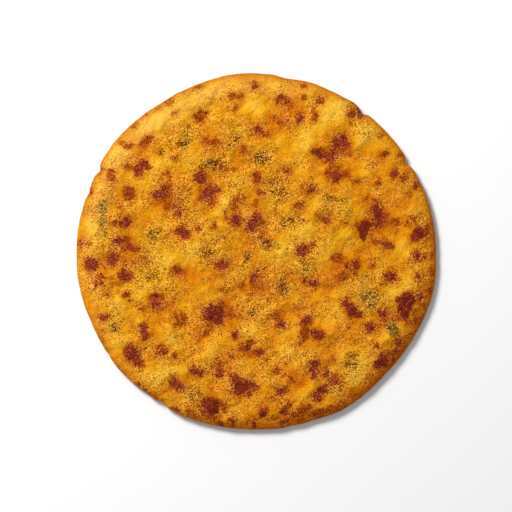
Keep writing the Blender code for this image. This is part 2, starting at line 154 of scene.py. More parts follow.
# Browned spots of the top: (x, y, length, width, turn). Rows that touch run together.
SPOTS: dict[Bake, Table] = {
    Bake.FAINT: (
        (-31.9, 58.5, 2.2, 1, 20), (-27.4, 77.1, 6, 1.6, 20), (-11.9, 38.3, 5, 1.8, 0),
        (-38.4, 65, 2.6, 2, 0), (-52.8, 64.8, 2.2, 1.2, 45), (-46.5, 67, 2.6, 1.4, 40),
        (-40.9, 69.8, 4.6, 1.8, 30), (26.9, 66, 2.8, 2.4, 0), (22.5, 72.5, 3, 2.2, -40),
        (8.1, 62.5, 1.6, 1.4, 0), (37.2, 53.4, 2, 1.4, 0), (36.9, 39.9, 4.6, 2.6, 0),
        (44.7, 59.5, 1, 1.4, 0), (59.1, 43.9, 1.6, 1.2, 0), (64.1, 34.5, 2, 1.6, 0),
        (59, 54.6, 1.8, 1.8, 0), (47.4, 32.8, 5.2, 1.4, -8), (54.7, 40.8, 2.8, 1.2, 0),
        (69.2, 32.8, 1.6, 2.2, 0), (-59.9, 24.4, 2.4, 1.4, 0), (-32.5, 28.6, 3, 2.4, 0),
        (-64.5, 20.9, 2.2, 2.4, 0), (-78.9, 2.8, 1.8, 1.4, 0), (-68.7, -13.2, 3, 1.5, 0),
        (-59.9, -23.4, 1.4, 1.2, 0), (-50.7, -26.1, 2, 1.6, 0), (-50.7, -5.5, 1.8, 1.6, 0),
        (-57.9, -5.7, 3.2, 1.8, 0), (-72.5, 27.2, 1.6, 1.6, 0), (-6.2, 24.6, 1.6, 1, 0),
        (-0.4, 22.4, 2.4, 4.2, 0), (17.9, 21.2, 2, 1.4, 0), (-7.1, -16.4, 3.4, 2.4, 0),
        (-16.1, -19.1, 2.2, 0.9, 0), (4.5, -8, 2.2, 1, 30), (2.6, 13, 2, 2.8, -35),
        (5.4, 4.2, 1.6, 1.8, 0), (12, -18.6, 2.6, 2.2, 0), (13.6, -15.6, 2.4, 1.2, 0),
        (29.1, 16.8, 1.4, 1.2, 0), (54.5, 18.9, 1.8, 1.6, 0), (47.6, 12.5, 2.8, 1.2, 10),
        (63.2, 12.8, 2.2, 1, 0), (38.5, -5.2, 3, 1.3, 0), (72.3, 26.8, 1.8, 1.6, 0),
        (74.6, -29, 2, 3, 0), (66.8, -32, 2.4, 2.8, 0), (71.6, -34, 2.6, 3.4, -30),
        (72, -39.6, 2.6, 1.4, 20), (77.6, -26, 2.2, 3, -20), (82.6, -3, 1.6, 4.4, 0),
        (82.4, -10, 1.6, 5, 0), (-74.5, -31.6, 1.8, 1.4, 0), (-72.7, -42.2, 1.4, 2.8, 25),
        (-70.7, -46.9, 1, 1.6, 30), (-55.9, -63.9, 3, 1.8, -45), (-47.9, -68.9, 2, 1, -40),
        (-26.9, -79.7, 3.4, 1.2, -15), (-38.4, -35.8, 1.4, 2.2, 0), (-21.6, -36.9, 2.8, 1.4, 45),
        (4.3, -52.1, 2.4, 1.2, -30), (13.5, -59.1, 1.6, 1, 0), (17.9, -61.6, 1.8, 1.2, 0),
        (20.3, -43.9, 1.4, 1.8, 0), (-19.9, -80, 1.8, 1.2, 0), (6.5, -79.5, 1.5, 1.2, 0),
        (-21.3, -65.2, 1.6, 1.2, 0), (-14.3, -66, 2, 1.2, 0), (-15, -75.6, 2.6, 1.4, 0),
        (9, -79.2, 5.6, 1.2, 10), (7.2, -69.8, 1.6, 1.4, 0), (38.9, -61.2, 1.8, 1.4, 0),
        (36.1, -51.5, 1.8, 1.6, 0), (43.4, -36.5, 1.4, 2, -20), (70.3, -40.7, 0.9, 1.2, 0),
        (45.7, -68.2, 1.8, 0.9, 20), (40.5, -73.2, 1.6, 0.9, 20),
    ),
    Bake.BROWN: (
        (-24.6, 64.9, 3.6, 1.8, 20), (-27.3, 62.9, 4.6, 4.6, 60), (-11.2, 73, 3.4, 2.2, 0),
        (-7.9, 72.8, 3, 2.2, 0), (-10.4, 67.3, 1.8, 1.6, 0), (-23.7, 51.8, 2.4, 2.6, 0),
        (-19, 51.2, 3.8, 3, 0), (-6.1, 47.7, 2.2, 3.2, 0), (-51.4, 51.9, 4.6, 3.2, 35),
        (-53.5, 50.1, 2.8, 2.6, 0), (-60.4, 49.5, 4.2, 1.8, 20), (-63.9, 50.8, 2, 1.6, 0),
        (-68.8, 36.3, 2.6, 3.6, -20), (-67.9, 33.8, 3.4, 2.4, 0), (-51.4, 38.9, 3.6, 1.8, 0),
        (-60.5, 39.4, 3.4, 1.6, 0), (-41.8, 35.8, 2.2, 2.2, 0), (-42, 30.9, 2.4, 2, 0),
        (-57.7, 59.1, 1.6, 2.4, -30), (-17.2, 39.7, 3.6, 2.2, -20), (-42, 71.4, 3.6, 1.4, 40),
        (-74, 38.2, 1.8, 2.2, 0), (-78.7, 28.4, 1.2, 3.2, -15), (22.4, 77.7, 3, 1.3, -10),
        (10.7, 70.8, 3, 2.4, 0), (14.7, 69.6, 3.6, 2.2, -30), (19.9, 61.6, 1.6, 1.4, 0),
        (27.5, 63, 2.6, 2.8, 0), (29.7, 71.1, 2.4, 3.2, 10), (12.1, 60.4, 4.2, 1.8, 0),
        (-0.8, 57.6, 1.6, 1.4, 0), (4.2, 54.7, 3, 1.6, 0), (14.4, 37.7, 2.4, 2, 0),
        (43.6, 45.5, 2.4, 0.9, -20), (32.7, 46.1, 2.4, 2, 0), (34.3, 36.6, 3.4, 3.2, 0),
        (42.3, 35.9, 3, 2, 0), (45.6, 65.1, 4, 3.6, 0), (43.9, 64.2, 1.6, 1.2, 0),
        (60.6, 45.5, 3.2, 2.2, 20), (67.7, 44.9, 1.8, 1.6, 0), (57.5, 32.2, 1.6, 2.2, 0),
        (70, 34.4, 3.4, 2.2, 0), (39.8, 47.4, 5.2, 2, 0), (-42.4, 21.6, 3.2, 2.6, 0),
        (-67.3, 13, 2.6, 2, 0), (-35.5, 11.6, 1.6, 2, 0), (-61.9, 5.5, 3.4, 2, 0),
        (-56.6, 0.8, 4.6, 2.2, -10), (-73.6, -13, 2.2, 4.4, 10), (-70.7, -21.1, 3, 1.8, -30),
        (-38, -8.8, 3.2, 3, 0), (-45.4, -22.2, 3.2, 3, 0), (-53.9, -27.2, 1.6, 1, 0),
        (-62.6, 1.6, 3, 2.6, 0), (-20.9, 22.8, 3, 3.6, 0), (-27.5, 23.9, 2.6, 1.2, 0),
        (-8.9, 23.8, 4.4, 3, 0), (-10.6, 20.8, 2.4, 2.4, 0), (-10.1, 12, 2.6, 1.6, 0),
        (-27.8, 10.5, 2.6, 1.6, 0), (-20.1, 11.6, 1.8, 2.2, 0), (-14.7, 16.8, 0.9, 3.6, 0),
        (20.1, 21.6, 4.2, 1.8, 20), (26.6, 2.6, 2.4, 2.4, 0), (23.3, -14.4, 3.2, 2.2, 0),
        (2.8, 6.2, 2.4, 1.6, 0), (-2.6, -20.4, 2.2, 0.9, 0), (31.1, 15, 2.4, 1.2, -30),
        (52.6, 24.6, 1.4, 0.9, 0), (56.1, 23.6, 2.6, 1.3, -20), (73.8, 15, 2.4, 2, 0),
        (71.1, 13, 1.4, 1.6, 0), (80.6, 9.6, 2, 6, -10), (63.3, 1.8, 2.4, 1.8, 0),
        (56.2, 4.1, 3.6, 1.4, -10), (37.1, -3.7, 3.2, 2.4, 0), (39.5, -3.2, 2.8, 2.2, 20),
        (47.3, -5, 2.2, 1.8, 0), (41.4, -12, 3, 4, 0), (54.7, -7, 1.4, 1.6, 0),
        (61.9, -11.4, 2.4, 2.4, 0), (66.1, -13.2, 1.8, 1.6, 0), (63.2, -14.6, 1.4, 0.9, 0),
        (78.9, -3, 1.8, 2, 0), (81.4, -18.8, 1.4, 2.6, 20), (57.7, -28.2, 1.6, 1.2, 0),
        (60.9, 15.6, 2.4, 3.4, 0), (40, -14, 2.4, 1.4, 0), (46.5, -10.7, 2, 1.8, 0),
        (59.8, -32.2, 3, 2, 0), (-58.9, -44.9, 3.2, 1.2, 0), (-45.1, -46.1, 3, 2.6, 0),
        (-46.5, -48.1, 2, 1.6, 0), (-38.9, -49.6, 1.8, 1.2, 0), (-34.8, -32, 2.8, 3.4, -30),
        (-36.6, -34.6, 4.8, 1.8, 10), (-39.5, -64.5, 1.8, 1.8, 0), (-52.9, -66, 3, 1.2, -40),
        (-50.7, -67.9, 1.8, 1, -40), (-37.9, -75.2, 3, 1.2, -30), (-32, -76.2, 1.8, 2.4, -30),
        (-55.4, -54.4, 2.2, 1.6, 0), (-38.2, -30.9, 1.8, 1.4, -30), (-28.8, -78.4, 3, 1.4, -20),
        (-24.1, -29.2, 2.6, 2.4, 0), (-6.6, -45.6, 2.6, 4, 0), (-2.9, -43.9, 3, 2, 0),
        (-0.9, -47.7, 2.4, 2.8, 0), (-11.7, -50, 1.8, 1.6, 0), (-17.6, -54.2, 2.6, 4.4, 0),
        (-17.5, -72.7, 3, 2.2, 0), (-21.9, -70, 4.8, 1.3, 0), (10.5, -67, 1.4, 1.2, 0),
        (13.7, -65, 2, 1.2, 30), (15, -73.4, 3.6, 2.2, 20), (21.8, -75.6, 5, 3.2, 20),
        (17.6, -77.8, 3.2, 2.4, 0), (20.8, -79.6, 4.4, 2.2, 10), (9.6, -56.9, 2.8, 2.2, 0),
        (25.1, -31.2, 2.2, 1.4, 0), (22.9, -38.4, 3.4, 5, 0), (21.5, -35.2, 2, 1.2, 0),
        (22.5, -41.2, 2.8, 1.8, 0), (-11.4, -80.6, 3.4, 3.6, 0), (-1.1, -79.7, 1.4, 0.8, 0),
        (-16.8, -25.6, 3, 3.4, 0), (-12.6, -30.2, 6, 2.4, -10), (-22.2, -34.6, 3.6, 2.2, 0),
        (-24.1, -39, 2.6, 1.6, 0), (-5, -67.2, 4.6, 1.6, 10), (-6.2, -61, 3.4, 1.6, -30),
        (-15.4, -73.4, 2.2, 4, -20), (-21.5, -78.6, 6, 1.8, -5), (12.6, -80.8, 5, 1.4, 10),
        (28.5, -76.8, 7.8, 2.7, 8), (34, -75.4, 5, 2.2, 20), (38.4, -73.4, 3, 1.8, 40),
        (10.6, -32.2, 4.6, 2.2, -40), (9.4, -30.6, 2.6, 1.6, 0), (15.9, -61, 2, 1.8, 0),
        (32.5, -64.9, 1.8, 1.2, 0), (36.8, -59.2, 1.8, 2.8, 0), (51.7, -36.7, 1.2, 1, 0),
        (56.9, -45.2, 2.4, 0.9, -15), (62.1, -49.1, 3.4, 1.3, 20), (67.9, -41.2, 1.4, 0.9, 30),
        (75.3, -33.1, 1.4, 3, -10),
    ),
    Bake.RUSSET: (
        (-0.2, 34.6, 3.2, 3.4, 0), (-38.9, 43.8, 1.8, 1.8, 0), (12.3, 71.8, 3.8, 3.4, 0),
        (37, 46, 3.2, 3.6, 0), (-60.1, 27.4, 4.6, 5.8, 0), (-42.8, 28.4, 4, 5.4, 10),
        (-39.6, 21, 2.6, 2.4, 0), (-61.3, 15, 2.4, 2.6, 0), (-35.6, 9, 5, 4.2, 0),
        (-67, -1.8, 2.4, 2.6, 0), (-74.6, -15.4, 2.6, 1.8, 0), (2.2, 27.2, 2.8, 2, 0),
        (33.1, 13.8, 3.2, 2.2, -20), (66, 13.4, 1.8, 2.6, 0), (42.9, -7.2, 1.8, 1.6, 0),
        (-12.1, -59.1, 1.2, 1.8, 30), (-3.3, -68.7, 2.8, 1.4, 10), (24.7, -74.5, 2.6, 1.2, 20),
        (-24.8, -76.6, 2.4, 3.2, 0),
    ),
    Bake.DARK: (
        (-0.9, 78, 1.6, 2.2, -30), (-26.4, 34.4, 5, 5.2, 0), (-53.9, 40.5, 5.6, 3.2, 25),
        (-55.7, 37.5, 3.4, 3.8, 0), (20.7, 63.1, 2.8, 3.4, 0), (0.9, 56.4, 4.2, 2.8, -20),
        (39.5, 51.1, 5.6, 4.6, 0), (40.9, 52.8, 2.4, 4, -20), (37.5, 49.9, 3.4, 2.6, 0),
        (42.3, 49.8, 3.4, 2.6, 0), (28.7, 46.5, 4.6, 2.8, -10), (30.1, 45.1, 3, 2.2, -30),
        (34.5, 43.9, 4.6, 3.8, -30), (37.3, 35.1, 5.2, 4.4, 0), (49.5, 65.3, 2.8, 2.2, -30),
        (48.7, 63.5, 1.6, 1.2, 0), (65.3, 36.3, 3, 3.2, 0), (75.3, 30.8, 2, 2, 0),
        (-47.5, 25.9, 3.8, 3.6, 0), (-44.7, 27.2, 3, 2.6, 0), (-36.5, 17.6, 3, 3.8, 0),
        (-62.3, 13, 5.4, 3.6, 15), (-33.6, 7.4, 3.8, 4, 0), (-65.5, 4.5, 4.6, 3.4, 0),
        (-60.1, 1.9, 3.6, 2.6, -30), (-83.1, 3.1, 1.2, 2, 0), (-78, -6.4, 5.8, 6, 0),
        (-68.1, -4.4, 4.4, 5.2, 0), (-62.3, -12, 5.6, 4.4, 0), (-62.3, -9.6, 2.8, 1.8, 0),
        (-59.7, -12.6, 1.8, 1.6, 0), (-61.8, -21, 2.2, 1.6, 0), (-36.8, -9.6, 3.2, 1.6, 0),
        (-47.7, -22.8, 3.6, 4.4, 0), (-47.2, -26, 4, 2.8, 0), (-22.5, 27.4, 6.4, 4.4, 30),
        (-19.5, 28.6, 3.4, 2.4, 0), (-24.3, 25.2, 4.2, 2.6, 0), (-10, 14.4, 4.2, 3.8, 0),
        (-9.1, 15.4, 3.2, 1.6, 0), (0.1, 15.8, 3.8, 4.2, 0), (-1.7, 13.2, 5.4, 3.8, 40),
        (-2.9, 10.2, 3.6, 2.6, 30), (26.4, 29, 3, 2.6, 0), (21.8, -0.2, 5, 4.6, 0),
        (22.1, 1.8, 2.4, 1.6, 0), (-17.3, -6.7, 3.8, 2.6, 0), (-14.7, -6.5, 2.8, 2.4, 0),
        (-16.2, -8.4, 2.6, 2, 0), (-0.8, -12, 2.2, 3.2, -20), (-1.7, -14.4, 2.2, 2.6, -20),
        (26.8, -15.2, 4.6, 3, 0), (57.4, 12.6, 4.4, 3.2, 0), (74.9, 6.3, 3.2, 2.4, 30),
        (60.8, 3.3, 3.6, 2.2, -20), (46.6, -7.2, 3.6, 3.2, 0), (63.5, -12.4, 4.2, 4, 0),
        (75.8, -2.5, 3.2, 3.8, 0), (76.3, -12.6, 1.6, 2.8, 0), (77.6, -21.8, 2.8, 2.6, 0),
        (42.1, -25.2, 3.8, 2.4, -30), (59.6, -29.6, 3.4, 3, 0), (45.4, -29.8, 5.6, 2.6, -15),
        (-71.9, -31.6, 3.4, 2.6, 0), (-53.3, -37.2, 3.2, 3.8, 0), (-52.7, -40.2, 2.8, 3.4, 0),
        (-59.9, -47.3, 4.4, 4, 0), (-57.9, -48.7, 4.2, 4.4, 0), (-59.7, -49.9, 4, 3, 0),
        (-56.6, -52.4, 4.6, 3.2, 0), (-43.3, -47.7, 2.8, 2.2, 0), (-38.9, -62.2, 3.2, 4.4, 0),
        (-36.1, -64.7, 4.2, 2.4, 0), (-29.1, -56.9, 3.4, 3.4, 0), (-26.5, -58.2, 3.2, 2.2, 0),
        (-9.9, -39.9, 2.4, 2.8, 0), (-4.7, -45.9, 3, 2.2, 0), (1.3, -48.2, 3.4, 2.8, 0),
        (-17.9, -58.1, 3.2, 3.6, 0), (-9.5, -61.9, 4.4, 4.4, 0), (-0.7, -65, 2.2, 1.8, 0),
        (-8.9, -67, 3.8, 1.8, 0), (12, -66.6, 4.6, 3.4, 15), (4.3, -75.2, 1.1, 1.8, -20),
        (12.9, -76, 4, 2.6, 15), (11.9, -35.2, 3.4, 3, 0), (23.5, -33.2, 4.2, 3.6, 0),
        (29.7, -40.1, 4.8, 3, 0), (28.2, -39, 4.6, 2.6, -10), (27.4, -53.6, 4.4, 3, 10),
        (27.3, -55.9, 3, 3.2, 0), (27, -59.2, 2.4, 2.8, 0), (28.4, -69, 4, 3.2, 0),
        (-16.9, -81.9, 3.2, 1.2, -10), (36.3, -61.7, 4.2, 2.9, 0), (33.2, -58.2, 2.2, 2.6, -30),
        (53.8, -36.2, 3.8, 4.2, 20), (65.5, -48.2, 1.6, 3.4, -30), (63.9, -51.5, 1.4, 1.4, 0),
        (66.9, -43.7, 1.8, 2, -20),
    ),
    Bake.BURNT: (
        (56.6, 19.4, 3.8, 3, 0), (57.9, 16.6, 4.4, 4.4, 0), (51.9, 12.4, 4.2, 2.8, 0),
        (50.1, 10.4, 4, 3.6, 0), (50.5, 7.3, 2, 3.6, 0), (77.1, 8.4, 4.4, 4, 0),
        (71.5, -23.1, 6.2, 5.4, 0), (70.1, -26.8, 5.8, 5.4, 0), (67.5, -23.6, 3, 2.2, 20),
        (69.3, -30.1, 3.8, 3.6, 0), (44.9, -27.6, 5, 3.4, -40), (47.7, -29.8, 3.6, 3, 0),
        (-20.5, -28.4, 6.8, 4.6, 10), (-17.9, -29.6, 4.6, 5.4, 0), (-22.3, -31.8, 3.8, 3.6, 0),
        (-17.9, -33.2, 3.6, 2.8, 0), (-6.9, -64.5, 7.4, 3.8, 0), (-2.7, -63.2, 3.8, 2.6, -20),
        (-23.5, -72.7, 4.4, 5.4, 0), (-20.3, -72.9, 4.6, 5.4, 0), (-21.1, -76.2, 4.2, 2.6, 0),
        (3.1, -76.9, 2.6, 2.4, 20), (-1.1, -82, 1, 2.8, 0), (31.1, -65.7, 3.2, 2.4, 0),
        (59.5, -50.9, 3.4, 4, -30), (57.9, -53.7, 3.8, 3.4, 0), (60.5, -52.9, 2.4, 3.4, -20),
    ),
}

# Places with chopped herbs: (x, y, length, width, turn, amount, greenness). Where the last two
# are 1 the herbs are thick and green, and past 1 they are thicker and greener still.
HERBS: Table = (
    (-34.5, 50.1, 5, 4, 20, 0.95, 0.5), (-33.5, 54.1, 5, 4, 60, 0.32, 0.6),
    (-20, 40.8, 9, 5, 0, 0.94, 0.2), (2.4, 44.2, 7, 5, 0, 0.90, 0.5),
    (-9, 53.1, 5, 4.5, 0, 0.40, 0), (-13, 49.6, 4, 4, 0, 0.32, 0), (-45, 45.6, 3.6, 4, 0, 0.48, 0),
    (-72.8, 20.4, 3.2, 6.6, 0, 0.92, 1.4), (-72.7, 13.4, 3, 6, 0, 0.88, 1.4),
    (-71.4, 8.6, 2.6, 4, 0, 0.48, 0.4), (-49, 7.4, 5.5, 5, 0, 0.50, 0.3), (7, 32, 6, 4, 0, 0.40, 0),
    (11, 27.2, 9, 6, -20, 0.35, 0), (-11, 31.1, 6, 3, 0, 0.32, 0), (33, 24.6, 6, 4, 0, 0.32, 0),
    (40, 23.6, 7, 3, 0, 0.40, 0), (12.8, 12.8, 3, 5, 0, 0.55, 0), (16.8, 14.8, 7, 2.5, 0, 0.40, 0),
    (22, 13.6, 5, 3, 0, 0.40, 0), (43.8, 17.2, 2.8, 5, 0, 0.20, 0), (42.5, 12.6, 5, 4, 0, 0.48, 0),
    (37, 9.6, 5, 4, 0, 0.32, 0), (5, 3.2, 6.5, 6, 0, 0.95, 0), (10.6, 2, 3.4, 2.4, 20, 0.50, 0.5),
    (-23.4, -1, 6, 6.5, 0, 0.42, 0.6), (-4.3, -3, 2.6, 5, -35, 0.90, 0),
    (23, -8, 7.5, 6, 0, 0.36, 0.6), (12.6, -17.6, 5.5, 5.5, 0, 1.12, 0),
    (-49.6, -13, 5.5, 4.5, 0, 0.38, 0.5), (-41, 1.6, 5, 3, 0, 0.24, 0),
    (51.6, -12.4, 3, 3, 0, 0.40, 0), (53.8, -22, 7, 6, -30, 0.72, 1.1),
    (54, -27, 6, 3, 0, 0.50, 0.2), (64.4, -37, 4.6, 6.4, 0, 1.40, 1.4),
    (44.6, -49.4, 5.5, 4, 0, 0.60, 0.2), (44.8, -54.4, 7, 4.5, 0, 0.52, 0.6),
    (-67.2, -36.8, 3.8, 4, 0, 0.75, 0.1), (-2, -28.9, 7, 5, 0, 0.20, 0),
    (-30.6, -69, 4, 3.6, 30, 0.60, 0.7), (-27.6, -66.4, 3, 3, 0, 0.48, 0),
    (39.8, -65.6, 2.4, 4, 0, 0.52, 0), (-17, 6.1, 7, 4, 0, 0.24, 0), (-35, 23.6, 6, 5, 0, 0.24, 0),
    (-15, -19, 6, 3, 0, 0.24, 0), (-24.5, -14, 4, 3, 0, 0.24, 0),
)

# Broad patches of the crust: (x, y, length, width, turn, tint from -1 orange to 1 olive, crumb
# from -1 smooth to 1 crumbly).
PATCHES: Table = (
    # upper left
    (-73.5, 17, 12, 24, 0, 0.5, 0.8), (-67, 44, 11, 11, 0, 0.5, 0.2),
    (-50, 61, 17, 9, 30, 0.6, -0.7), (-31, 71, 20, 10, 25, 0.8, 0), (-35, 53, 9, 12, 0, 0.6, 0.8),
    (-24, 41, 18, 8, 0, 0.8, 0.4), (-9, 52, 9, 10, 0, 0.5, 0.7), (-22, 57, 12, 10, 0, -0.4, 0.1),
    (-52, 47, 9, 12, 0, -0.4, 0), (-40, 34, 13, 9, 0, -0.6, -0.4), (-38, 26, 12, 9, 20, 0.1, 0.9),
    (-11, 31, 11, 9, 0, 0.3, 0.6), (-27, 20, 14, 9, 0, 0.5, 0.1), (-2, 67, 20, 13, 0, 0, -0.6),
    # upper right
    (1.5, 43, 10, 9, 0, 0.6, 0.9), (9, 29, 12, 11, -20, 0.8, 0.8), (14, 65, 32, 12, 35, -0.8, -0.2),
    (33, 46, 11, 20, 0, -0.9, -0.6), (23, 32, 10, 10, 0, -0.6, -0.2),
    (33, 63, 16, 8, 50, 0.5, -0.6), (19, 50, 14, 12, 0, 0.3, -0.6), (55, 38, 26, 20, 0, -0.6, -0.5),
    (69, 12, 18, 26, 0, -0.7, -0.6), (17, 13.5, 14, 9, 15, 0.7, 0.9),
    (0, 18, 14, 12, 0, -0.7, -0.1), (40, 20, 14, 14, -50, 0.5, 0.5), (36, 8, 12, 9, 0, 0.4, 0),
    # lower left
    (-50, 6, 12, 10, 0, 0.8, 0.6), (-51, -8, 15, 20, 0, 0.8, 0.8), (-40, 0, 12, 7, 0, 0.4, 0.1),
    (-21, 0, 18, 13, 20, 0.5, 0.9), (-33, -10, 15, 9, 0, -0.7, -0.8),
    (-77, -12, 13, 25, 0, -0.6, 0.2), (-67, -37, 9, 11, 0, 0.6, 0.8),
    (-28, -36, 16, 14, 0, -0.8, 0.1), (-38, -26, 14, 8, 0, 0.2, 0.5), (-24, -26, 9, 7, 0, 0, 0.6),
    (-54, -42, 11, 14, 0, -0.4, 0), (-45, -56, 15, 12, 0, 0.4, 0.2),
    (-30, -67, 12, 13, 0, 0.8, 0.9), (-14, -58, 10, 18, 0, -0.6, 0), (-4, -5, 7, 8, 0, 0.4, 0.7),
    (0, -17, 9, 8, 0, -0.7, 0), (-2, -29, 11, 12, 0, 0.4, 0.9),
    # lower right
    (7, 3, 12, 8, 0, 0.6, 0.1), (24, -7, 9, 11, 0, 0.6, 0.9), (37, -10, 22, 8, 40, -1, -0.4),
    (53, -21, 16, 16, 0, 0.8, 0.8), (10, -31, 6, 24, -25, -0.6, 0), (-6, -49, 20, 8, 50, -0.5, 0),
    (19, -63, 16, 18, 0, -0.7, -0.2), (38, -38, 24, 13, 0, -0.5, -0.4),
    (44, -53, 14, 14, 0, 0.6, 0.8), (39, -68, 10, 14, 0, 0.6, 0.7), (65, -37, 8, 9, 0, 0.3, 0.6),
    (25, -51, 7, 8, 0, 0, 0.5), (14, -36, 60, 34, 0, -0.4, 0), (54, 13, 20, 18, 0, 0, -0.7),
)


def linear(red: float, green: float, blue: float) -> Colour:
    """Turn a colour as a screen shows it into linear light.

    Args:
        red: the red share, from 0 to 255.
        green: the green share.
        blue: the blue share.

    Returns:
        The linear colour, with alpha 1.
    """
    steps = [step / 255.0 for step in (red, green, blue)]
    light = [s / 12.92 if s <= 0.04045 else ((s + 0.055) / 1.055) ** 2.4 for s in steps]
    return (light[0], light[1], light[2], 1.0)


def smooth_noise(x: Array, y: Array, size: float, layer: float = 0.0) -> Array:
    """Read smooth noise, from about -1 to 1, with lumps of a size in millimetres."""
    return np.array([noise.noise(Vector((a, b, layer))) for a, b in zip(x / size, y / size)])


def facing(angles: Array, towards: float, power: float) -> Array:
    """Share from 0 to 1 by which angles in radians face a way given in degrees."""
    return np.power(0.5 + 0.5 * np.cos(angles - math.radians(towards)), power)


def fading(away: Array, reach: Union[Array, float]) -> Array:
    """Fall softly from 1 towards 0 as a distance grows past a reach."""
    return np.exp(-np.square(away / reach))


def oval_distance(x: Array, y: Array, row: Row) -> tuple[Array, Array]:
    """Measure places against one oval.

    Args:
        x: places along X, in millimetres.
        y: places along Y, in millimetres.
        row: the oval's centre x and y, length, width and turn in degrees.

    Returns:
        The distance in units of the oval's own half sizes, and in millimetres from its edge.
    """
    dx = x - row[0]
    dy = y - row[1]
    turn = math.radians(row[4])
    u = (dx * math.cos(turn) + dy * math.sin(turn)) / (row[2] / 2)
    v = (dy * math.cos(turn) - dx * math.sin(turn)) / (row[3] / 2)
    units = np.hypot(u, v) + TINY
    return units, np.hypot(dx, dy) * (1.0 - 1.0 / units)


def mounds(x: Array, y: Array, rows: Table, column: int = 5) -> Array:
    """Add up soft oval mounds.

    Args:
        x: places along X, in millimetres.
        y: places along Y, in millimetres.
        rows: each mound's centre, length, width and turn, and how high it is.
        column: which number of a row is the height.

    Returns:
        The height of the mounds at the places.
    """
    height = np.zeros_like(x)
    for row in rows:
        units, _ = oval_distance(x, y, row)
        height += row[column] * np.exp(-units * units)
    return height


def finished(shape: bmesh.types.BMesh, name: str, material: bpy.types.Material,
             fields: dict[str, Array]) -> bpy.types.Object:
    """Turn a modelled shape into a piece of the scene.

    Args:
        shape: the shape, which is freed.
        name: the piece's name.
        material: the finish.
        fields: numbers that the corners carry for the finish, by name.

    Returns:
        The piece.
    """
    mesh = bpy.data.meshes.new(name)
    shape.to_mesh(mesh)
    shape.free()
    for title, values in fields.items():
        layer = mesh.attributes.new(title, "FLOAT", "POINT")
        layer.data.foreach_set("value", values.astype(np.float32))
    mesh.materials.append(material)
    piece = bpy.data.objects.new(name, mesh)
    bpy.context.scene.collection.objects.link(piece)
    return piece


@dataclass(frozen=True)
class BreadForm:
    """The bread's form, in millimetres: the same sizes and formulas as its solid's.

    Waves are (crests, swing, angle of a crest), nicks are (place, width, depth) and lumps are
    (size, rise). Angles are in degrees.
    """

    mean_radius: float = 84.6
    thickness: float = 6.9
    rim_height: float = 2.4
    edge_reach: float = 11.0
    under_reach: float = 4.5
    rim_lift: float = 0.5
    crumb_size: float = 5.0
    crumb_swing: float = 0.25
    swell_scale: float = 1.7
    outline_waves: Table = (
        (1, 0.99, 256), (2, 0.41, 174), (3, 0.33, 98), (4, 0.15, 84), (5, 0.19, 4), (6, 0.13, 52),
        (7, 0.18, 42), (9, 0.27, 19), (14, 0.12, 15),
    )
    nicks: Table = (
        (30.4, 1.6, 1.3), (52.4, 1.3, 1.5), (56.5, 2, -0.5), (72, 3, -0.3), (79.5, 3, 0.4),
        (123, 3.5, 0.2), (153, 1.1, 1.3), (161, 1.3, 0.6), (192, 8, -0.25), (215, 1.2, 0.4),
        (232, 1.2, 0.5), (238.4, 1.4, 0.8), (246, 5, -0.4), (277, 4, -0.4), (290, 4, 0.4),
    )
    lift_waves: Table = ((3, 0.30, 140), (5, 0.22, 20))
    roll_waves: Table = ((1, 0.05, 318), (2, 0.16, 138), (4, 0.12, 25))
    lumps: Table = ((9.0, 0.40), (5.0, 0.20))
    rim_points: int = 720

    @staticmethod
    def waves(angle: Array, rows: Table) -> Array:
        """Sum waves round the rim at angles in radians."""
        return sum(swing * np.cos(crests * (angle - math.radians(crest)))
                   for crests, swing, crest in rows)

    def outline(self, angle: Array) -> Array:
        """Trace the rim's widest line.

        Args:
            angle: angles round the bread, in radians.

        Returns:
            The distances from the centre.
        """
        reach = self.mean_radius / self.crumb_size
        crumbs = smooth_noise(np.cos(angle) * reach, np.sin(angle) * reach, 1.0)
        radius = self.mean_radius + self.waves(angle, self.outline_waves)
        radius = radius + self.crumb_swing * crumbs
        for place, width, depth in self.nicks:
            turn = angle - math.radians(place)
            away = np.arctan2(np.sin(turn), np.cos(turn)) / math.radians(width)
            radius = radius - depth * np.exp(-away * away)
        return radius

    def rim(self, angle: Array) -> Array:
        """Height of the rim's widest line at angles in radians."""
        return self.rim_height * (1.0 + self.rim_lift * self.waves(angle, self.lift_waves))

    def curl(self, angle: Array) -> Array:
        """How far in from the rim the underside meets the board at angles in radians."""
        return self.under_reach * (1.0 + self.waves(angle, self.lift_waves))

    def shoulder(self, angle: Array, inset: Array) -> Array:
        """Follow the rolled top edge up to the full height.

        Args:
            angle: angles round the bread, in radians.
            inset: how far in from the rim.

        Returns:
            The share of the full height, from 0 to 1.
        """
        reach = self.edge_reach * (1.0 + self.waves(angle, self.roll_waves))
        outward = 1.0 - np.clip(inset / reach, 0.0, 1.0)
        return np.sqrt(np.maximum(0.0, 1.0 - outward * outward))

    def relief(self, x: Array, y: Array) -> Array:
        """Read the swells, hollows and lumps of the solid's top.

        Args:
            x: places along X.
            y: places along Y.

        Returns:
            The height above the plain top.
        """
        height = self.swell_scale * (mounds(x, y, SWELLS) - mounds(x, y, HOLLOWS))
        for size, rise in self.lumps:
            height = height + rise * smooth_noise(x, y, size)
        return height

    def middle(self) -> tuple[float, float]:
        """Find the middle of the outline's own box, which the solid has over its origin.

        Returns:
            The middle's x and y.
        """
        angle = np.linspace(0.0, math.tau, self.rim_points, endpoint=False)
        radius = self.outline(angle)
        x = radius * np.cos(angle)
        y = radius * np.sin(angle)
        return (x.min() + x.max()) / 2, (y.min() + y.max()) / 2


